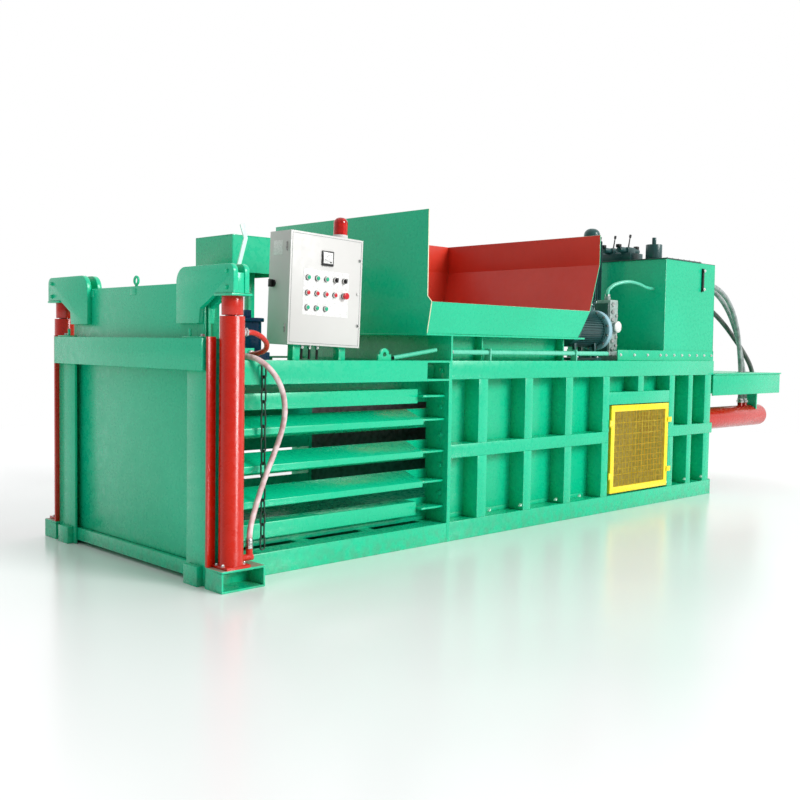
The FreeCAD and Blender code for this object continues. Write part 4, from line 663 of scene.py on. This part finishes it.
def build_cabinet():
    """Grey sheet cabinet: case on green legs, door with legend plate, meter, controls and lamp."""
    under = at(0, 0, 1550).z
    softened("cabinet_case", "cabinet", 0.004, ["green", "lid"],
             lambda c, n: 1 if c.z < under - 0.012 else (2 if c.z > under + 0.797 else 0))
    softened("cabinet_door", "cabinet", 0.003)
    softened("beacon_lens", "red_lens", 0.0)
    for name in frame["nodes"]:
        if name.startswith("green_button"):
            softened(name, "green_cap", 0.002)
        elif name.startswith("red_button") or name == "stop_button":
            softened(name, "red_cap", 0.002)
        elif name.startswith("selector") or name == "main_switch":
            softened(name, "black", 0.0015)
    left, top, front = CABINET_LEFT, CABINET_TOP, CABINET_FRONT
    bm = bmesh.new()
    hole = 14.3
    row_places = [(top - row * 780, columns) for row, columns in ROWS]
    plate_left, plate_right, edge = left + 119, left + 535, top - 250
    for z, columns in row_places:
        bar(bm, at(plate_left, front - 1.2, z + hole), at(plate_right, front, edge), 0)
        start = plate_left
        for column in columns:
            x = left + column * 660
            bar(bm, at(start, front - 1.2, z - hole), at(x - hole, front, z + hole), 0)
            start = x + hole
        bar(bm, at(start, front - 1.2, z - hole), at(plate_right, front, z + hole), 0)
        edge = z - hole
    bar(bm, at(plate_left, front - 1.2, top - 569), at(plate_right, front, edge), 0)
    for z, x in [(z, left + column * 660) for z, columns in row_places for column in columns]:
        turned(bm, [(0.0150, 0), (0.0205, 0), (0.0205, 0.0035), (0.0185, 0.0055), (0.0150, 0.0055),
                    (0.0150, 0)], at(x, front - 1, z), (0, -1, 0), 36, 1)
    for z in (top - 150, top - 620):
        turned(bm, [(0, 0), (0.012, 0), (0.012, 0.004), (0.010, 0.006), (0, 0.006)], at(left + 632, front, z),
               (0, -1, 0), 28, 2)
        bar(bm, at(left + 630, front - 8.5, z - 7), at(left + 634, front - 5, z + 7), 0.0008, 1)
    seam = 14
    for low, high in (((left + seam, top - seam - 2), (left + 660 - seam, top - seam)),
                      ((left + seam, top - 780 + seam), (left + 660 - seam, top - 780 + seam + 2)),
                      ((left + seam, top - 780 + seam), (left + seam + 2, top - seam)),
                      ((left + 658 - seam, top - 780 + seam), (left + 660 - seam, top - seam))):
        bar(bm, at(low[0], front - 0.8, low[1]), at(high[0], front, high[1]), 0, 3)
    lean(bm)
    finish_piece("door_dressing", bm, ["white", "black", "zinc", "lid"], "control_door")
    x, z, half = left + 0.495 * 660, top - 0.21 * 780, 52
    bm = bmesh.new()
    bar(bm, at(x - half, front - 12, z - half), at(x + half, front, z + half), 0.003)
    bar(bm, at(x - 42, front - 13, z - 36), at(x + 42, front - 11.5, z + 42), 0.0005, 1)
    centre = at(x + 24, front - 13.4, z - 26)
    for k in range(11):
        angle = math.radians(2 + 9 * k)
        spot = centre + Vector((-math.cos(angle), 0, math.sin(angle))) * 0.052
        half_tick = Vector((0.004 if k % 5 == 0 else 0.0025, 0.0004, 0.0006))
        bar(bm, spot - half_tick, spot + half_tick, 0, 0, Matrix.Rotation(angle, 4, "Y"))
    spot = centre + Vector((-math.cos(0.3), 0, math.sin(0.3))) * 0.026
    bar(bm, spot - Vector((0.028, 0.0005, 0.0008)), spot + Vector((0.028, 0.0005, 0.0008)), 0, 0,
        Matrix.Rotation(0.3, 4, "Y"))
    turned(bm, [(0, 0), (0.006, 0), (0.006, 0.002), (0, 0.0025)], centre, (0, -1, 0), 24)
    lean(bm)
    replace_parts(finish_piece("dial_meter", bm, ["black", "white"], "control_door"), "panel_meter")
    bm = bmesh.new()
    bar(bm, at(left - 1.5, -860, 2165), at(left, -760, 2265), 0.0005)
    for z in (1660, 2220):
        disc(bm, 0.006, 0.06, at(left - 5, -914, z - 30), (0, 0, 1), 20, 1)
    for k in range(3):
        x = left + 230 + 70 * k
        turned(bm, [(0, 0), (0.018, 0), (0.018, 0.014), (0.014, 0.024), (0, 0.024)],
               at(x, -820, 1549), (0, 0, -1), 6, 1)
        disc(bm, 0.0095, 0.075, at(x, -820, 1528), (0, 0, -1), 20, 2)
    lean(bm)
    finish_piece("cabinet_fittings", bm, ["white", "zinc", "black"])
    bm = bmesh.new()
    bar(bm, at(left + 40, -735, 1600), at(left + 620, -732, 2280), 0.001)
    for z in (1700, 1870, 2040, 2190):
        bar(bm, at(left + 70, -742, z - 17), at(left + 590, -735, z + 17), 0.0015, 1)
        for k in range(7):
            x = left + 95 + 70 * k
            bar(bm, at(x, -812, z - 40), at(x + 48, -742, z + 40), 0.003, 2)
            bar(bm, at(x + 8, -818, z - 14), at(x + 40, -812, z + 14), 0.001, 3)
    lean(bm)
    finish_piece("control_gear", bm, ["zinc", "steel", "gear", "black"])


def build_net_door():
    """Yellow frame over a fine woven net, with a tab and two hinge barrels."""
    softened("net_door", "yellow", 0.002)
    low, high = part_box("net_door")
    y = (low.y + high.y) / 2
    inset, pitch, half = 0.045, 0.0125, 0.0014
    bm = bmesh.new()
    x = low.x + inset
    while x < high.x - inset:
        bar(bm, (x - half, y - half, low.z + inset), (x + half, y + half, high.z - inset), 0)
        x += pitch
    z = low.z + inset
    while z < high.z - inset:
        bar(bm, (low.x + inset, y + half, z - half), (high.x - inset, y + 3 * half, z + half), 0)
        z += pitch
    finish_piece("fine_net", bm, ["net"], "net_door")


# ---------------------------------------------------------------- hopper

def build_hopper():
    """Folded sheets: mint outside, red inside, pale cream painted highlight on the rims and edge faces that
    look up or toward the key light.
    """
    low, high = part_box("hopper")
    middle = Vector(((low.x + high.x) / 2, 0, 2.10))

    def side(centre, normal):
        # pale cream painted highlight: faces at the top, upward faces of the flared near lip, and the left
        # end's faces toward the key light
        if normal.z > 0.6 and centre.z > high.z - 0.006:
            return 2
        if normal.z > 0.5 and centre.y < -1.0 and centre.z > 1.89:
            return 2
        if normal.y < -0.9 and centre.x < low.x + 0.012 and centre.z > 1.7:
            return 2
        return int((middle - centre).dot(normal) > 0.12)
    softened("hopper", "green", 0.002, ["hopper_red", "rim_highlight"], side)


def main():
    place_camera()
    light_studio()
    lay_hoses()
    build_hopper()
    finish_frame()
    gate_details()
    frame_bolts()
    power_pack()
    build_cabinet()
    build_net_door()


def lay_floor():
    """Pale polished floor."""
    bm = bmesh.new()
    bmesh.ops.create_grid(bm, x_segments=1, y_segments=1, size=60)
    mesh = bpy.data.meshes.new("floor")
    bm.to_mesh(mesh)
    bm.free()
    material, tree, shader, place = start_material("pale_polished_floor", 0.22)
    tint = spread(tree, noise(tree, place, 2500, 2), 0.3, 0.7)
    tree.links.new(blend_colours(tree, tint, "f8f9f9", "f2f4f4"), shader.inputs["Base Color"])
    far = add(tree, "VectorMath", wires={0: place}, operation="LENGTH").outputs["Value"]
    glow = add(tree, "Emission", {"Color": (1, 1, 1, 1), "Strength": 1.0})
    fade = add(tree, "MixShader", wires={0: spread(tree, far, 5.0, 11.0), 1: shader.outputs[0],
                                         2: glow.outputs[0]})
    output = next(node for node in tree.nodes if node.type == "OUTPUT_MATERIAL")
    tree.links.new(fade.outputs[0], output.inputs["Surface"])
    mesh.materials.append(material)
    floor = bpy.data.objects.new("floor", mesh)
    bpy.context.scene.collection.objects.link(floor)


main()
lay_floor()
bpy.context.scene.view_settings.view_transform = "Standard"
